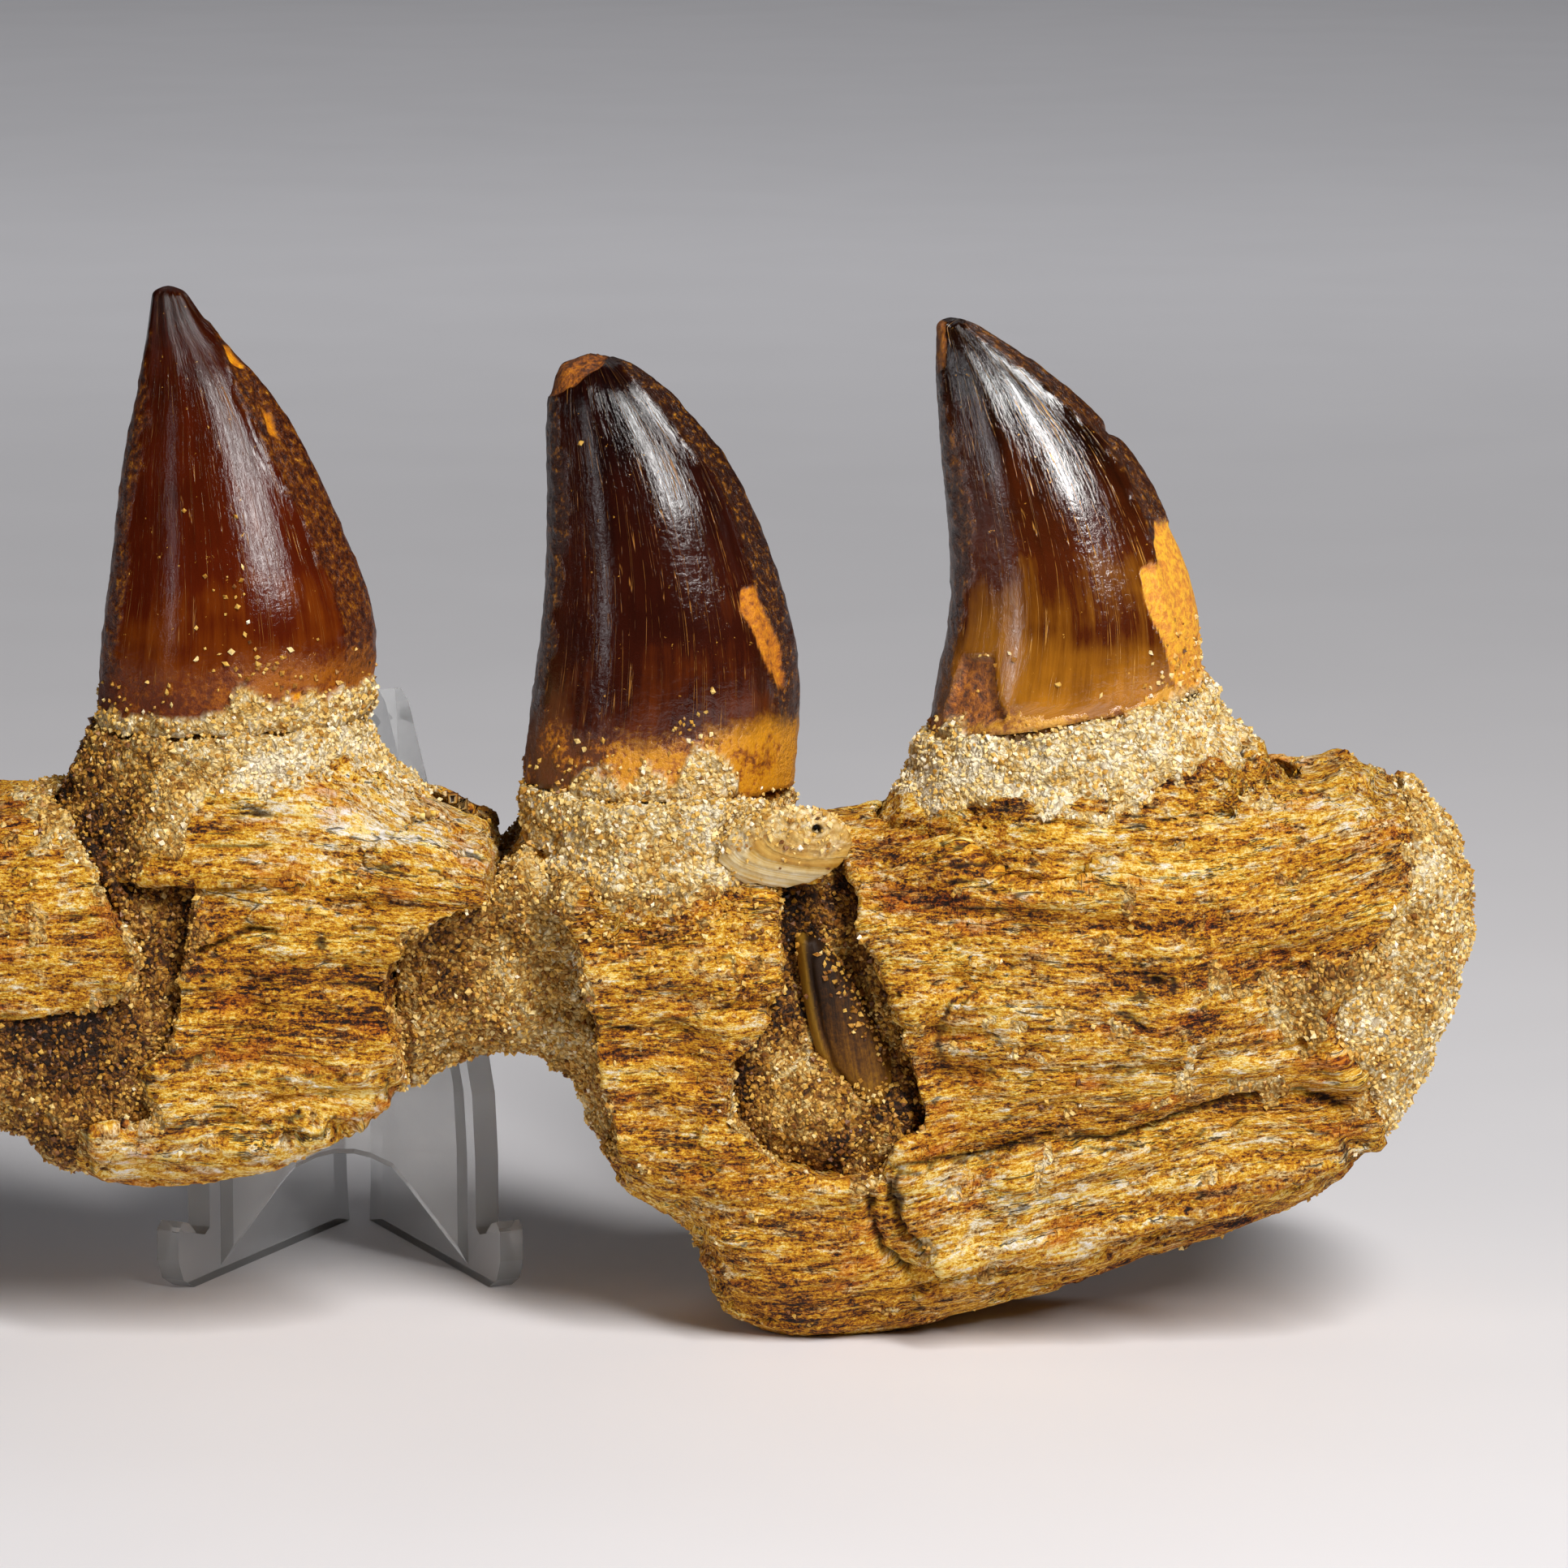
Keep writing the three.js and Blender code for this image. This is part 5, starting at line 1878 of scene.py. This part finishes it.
MIDDLE_CROWN = Crown(
    node="tooth_middle_crown",
    finish=Enamel(
        "dark_enamel", dark="0c0303", middle="321007", glow="6e300c", line="a46e30", fades=0.35,
        strip="3e1c08", foot_dark="5e2c06", foot_middle="a05a08", foot_light="cc880f",
    ),
    left_strip=((-20.8, 33.8), (-19.9, 26.6), (-20.5, 18.0), (-21.4, 12.2), (-22.8, 6.5)),
    right_strip=((-15.1, 38.6), (-9.9, 32.3), (-6.5, 28.1), (-4.7, 23.7), (-3.3, 19.1), (-1.5, 12),
                 (-0.5, 6)),
    foot=((-25, 7), (-23.1, 6.5), (-18.8, 3.9), (-13.9, 3.4), (-9.9, 3.9), (-5.8, 4.8), (-1.6, 5.6),
          (2, 5.8)),
    foot_fade=2.6,
    sand_line=((-28, -2.5), (-24.2, -1.5), (-21.5, -1.2), (-19.5, 0.9), (-16, 1.2), (-14.2, -0.4),
               (-12.2, 1.7), (-10.5, -0.2), (-8.7, 2.8), (-6.6, 3.6), (-5.2, 1.8), (-3.6, -1.6),
               (-1.6, -2.3), (0.8, -1.8), (4, -1.8)),
    chips=(
        Chip(((-22.4, 36.9), (-21.8, 38.6), (-18.4, 40.6), (-15.6, 40.0), (-17.3, 38.4), (-19.3, 36.9),
              (-20.5, 36.1), (-22.4, 35.8)), 0.18, 0.3),
        Chip(((-4.1, 18.0), (-2.7, 18.3), (-1.3, 15.1), (-0.1, 12.2), (0.3, 9.1), (-0.4, 8.8), (-1.8, 11.4),
              (-3.0, 14.2), (-4.1, 16.0)), 0.5),
    ),
    stuck=(
        Spot((-9.0, 5.4), (1.4, 2.4), 0.35),
        Spot((-18.2, 30.2), (0.8, 2.4), 0.1),
        Spot((-5.6, 8.8), (0.9, 0.8), 0.4),
    ),
)
RIGHT_CROWN = Crown(
    node="tooth_right_crown",
    finish=Enamel(
        "brown_enamel", dark="180702", middle="4a1c06", glow="b0701a", line="cf9440", fades=0.6,
        strip="522808", foot_dark="8a4c08", foot_middle="bd7a10", foot_light="dea030", shine=1.0,
    ),
    left_strip=((14.4, 36.4), (16.1, 32.2), (17.2, 25.3), (17.5, 19.7), (16.6, 15.5), (16.1, 11.4)),
    right_strip=((16.3, 42.4), (22.7, 37.7), (27.4, 33.6), (31.0, 29.2), (32.7, 25.3), (34.1, 21.1),
                 (36, 14)),
    foot=((11, 7), (15, 6), (19.4, 6.6), (20.6, 7.0), (23.0, 6.1), (27.4, 6.1), (31.6, 7.0),
          (35.2, 8.6), (40, 10)),
    foot_fade=0.25,
    sand_line=((8, 3.6), (13.2, 4.3), (16.2, 5.2), (18.6, 4.4), (23.0, 4.2), (28, 4.2), (32.4, 5.8),
               (35.6, 8.0), (38.4, 9.8), (42, 11)),
    chips=(
        Chip(((34.4, 24.2), (36, 24.4), (38.2, 19.2), (40.6, 15.3), (41.2, 11.9), (41, 7.5), (35.8, 9.4),
              (35.2, 12.8), (34.1, 14.7), (33.0, 18.3), (32.9, 19.7), (33.8, 20.6), (34.4, 20.3)), 0.85),
        Chip(((16.3, 11.9), (19.1, 11.4), (19.6, 7.8), (20.6, 5.8), (15.8, 5.2), (15.0, 6.4),
              (15.8, 9.8)), 0.3, 0.8),
        Chip(((14.0, 42.8), (15.0, 42.6), (15.0, 38.6), (14.2, 38.0)), 0.45, 0.12),
    ),
    notches=(Spot((30.3, 32.9), (0.8, 0.7), 0.6),),
    stuck=(Spot((19.6, 11.2), (1.6, 1.4), 0.16), Spot((37.6, 12.4), (2.0, 2.4), 0.35)),
)


# ---------------------------------------------------------------- the easel


@dataclass
class Easel:
    """The clear display easel: two side plates and the arched panel between them, moulded as one."""

    plates: tuple[str, ...] = ("easel_left_side", "easel_right_side")
    web: str = "easel_web"
    reach_in: float = 0.45
    beside_middle: float = 3.0
    edge_radius: float = 0.35
    finish: ClearPlastic = ClearPlastic("clear_plastic")

    def build(self, bench: Bench) -> None:
        """Makes the easel in one piece.

        Args:
            bench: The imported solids.
        """
        piece = bench.copy_of(self.web, "easel_clear")
        self.widen(piece)
        sides = [bench.copy_of(plate, plate + "_blank") for plate in self.plates]
        for side in sides:
            union = piece.modifiers.new("moulded on", "BOOLEAN")
            union.operation = "UNION"
            union.solver = "EXACT"
            union.object = side
        bevel = piece.modifiers.new("soft edges", "BEVEL")
        bevel.width = self.edge_radius * MM
        bevel.segments = 2
        bevel.limit_method = "ANGLE"
        bevel.angle_limit = math.radians(40)
        settle(piece)
        for side in sides:
            bpy.data.objects.remove(side)
        piece.data.polygons.foreach_set("use_smooth", [False] * len(piece.data.polygons))
        hand_over(piece, self.finish.build(), "clear_plastic", self.web, *self.plates)

    def widen(self, piece: bpy.types.Object) -> None:
        """Carries the panel's two edges into the side plates.

        Args:
            piece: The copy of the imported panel.
        """
        shape = bmesh.new()
        shape.from_mesh(piece.data)
        across = [vertex.co.x for vertex in shape.verts]
        middle = (min(across) + max(across)) / 2
        for vertex in shape.verts:
            if abs(vertex.co.x - middle) > self.beside_middle * MM:
                vertex.co.x += math.copysign(self.reach_in * MM, vertex.co.x - middle)
        shape.to_mesh(piece.data)
        shape.free()


# ---------------------------------------------------------------- the studio


@dataclass(frozen=True)
class Softbox:
    """An oblong studio lamp, aimed at the jaw unless it is given another aim."""

    name: str
    at: tuple[float, float, float]
    size: tuple[float, float]
    power: float
    color: tuple[float, float, float] = (1.0, 1.0, 1.0)
    aim: tuple[float, float, float] = (0.0, -0.01, 0.05)
    spread: float = 180.0

    def build(self) -> None:
        """Hangs the lamp."""
        lamp = bpy.data.lights.new(self.name, "AREA")
        lamp.shape = "RECTANGLE"
        lamp.size, lamp.size_y = self.size
        lamp.energy = self.power
        lamp.color = self.color
        lamp.spread = math.radians(self.spread)
        holder = bpy.data.objects.new(self.name, lamp)
        holder.location = self.at
        holder.rotation_euler = (Vector(self.aim) - Vector(self.at)).to_track_quat("-Z", "Y").to_euler()
        bpy.context.scene.collection.objects.link(holder)


COOL_WHITE = (0.97, 0.98, 1.0)


@dataclass
class Studio:
    """The table, the lamps and the camera."""

    table_half: float = 8.0
    room: tuple[float, float, float] = (0.009, 0.009, 0.01)
    lens: float = 149.07
    sensor: float = 36.0
    softboxes: tuple[Softbox, ...] = (
        Softbox("key", (0.27, -0.5, 0.59), (0.13, 0.54), 8.2, (1.0, 0.985, 0.965)),
        Softbox("left_strip", (-0.62, -0.42, 0.3), (0.032, 0.4), 0.55, (0.95, 0.97, 1.0)),
        Softbox("back_wash", (0.0, 1.9, 1.9), (2.2, 1.2), 8.2, COOL_WHITE, (0.0, 2.1, 0.0), 120.0),
        Softbox("floor_wash", (0.0, 0.9, 0.9), (1.6, 0.3), 1.25, COOL_WHITE, (0.0, 0.98, 0.0), 108.0),
    )

    def build(self) -> None:
        """Sets the studio up."""
        self.lay_table()
        self.close_room()
        for softbox in self.softboxes:
            softbox.build()
        self.stand_camera()

    def lay_table(self) -> None:
        """Lays the table, which isn't part of the object."""
        shape = bmesh.new()
        bmesh.ops.create_grid(shape, x_segments=2, y_segments=2, size=self.table_half)
        table = place(shape, "table_top")
        table.data.materials.append(TableTop("table_top").build())

    def close_room(self) -> None:
        """Gives the dim room round the table its light."""
        world = bpy.data.worlds.new("room")
        world.use_nodes = True
        world.node_tree.nodes["Background"].inputs["Color"].default_value = (*self.room, 1.0)
        bpy.context.scene.world = world

    def stand_camera(self) -> None:
        """Stands the camera where the front drawing is seen from."""
        camera = bpy.data.cameras.new("camera")
        camera.lens = self.lens
        camera.sensor_width = self.sensor
        holder = bpy.data.objects.new("camera", camera)
        holder.location = to_frame(EYE)
        holder.rotation_euler = (math.pi / 2 - EYE_DIPS, 0.0, 0.0)
        bpy.context.scene.collection.objects.link(holder)
        bpy.context.scene.camera = holder
        bpy.context.scene.view_settings.view_transform = "Standard"


def main() -> None:
    """Builds the fossil, its easel and the studio, and logs each piece's triangle count."""
    logging.basicConfig(level=logging.INFO, format="%(message)s")
    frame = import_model()
    bench = Bench(frame["nodes"])
    grains = GrainField()
    Jaw().build(bench, grains)
    for crown in (LEFT_CROWN, MIDDLE_CROWN, RIGHT_CROWN):
        crown.build(bench, grains)
    Buried().build(bench, grains)
    Shell().build(bench, grains)
    grains.build()
    Easel().build(bench)
    Studio().build()


if __name__ == "__main__":
    main()
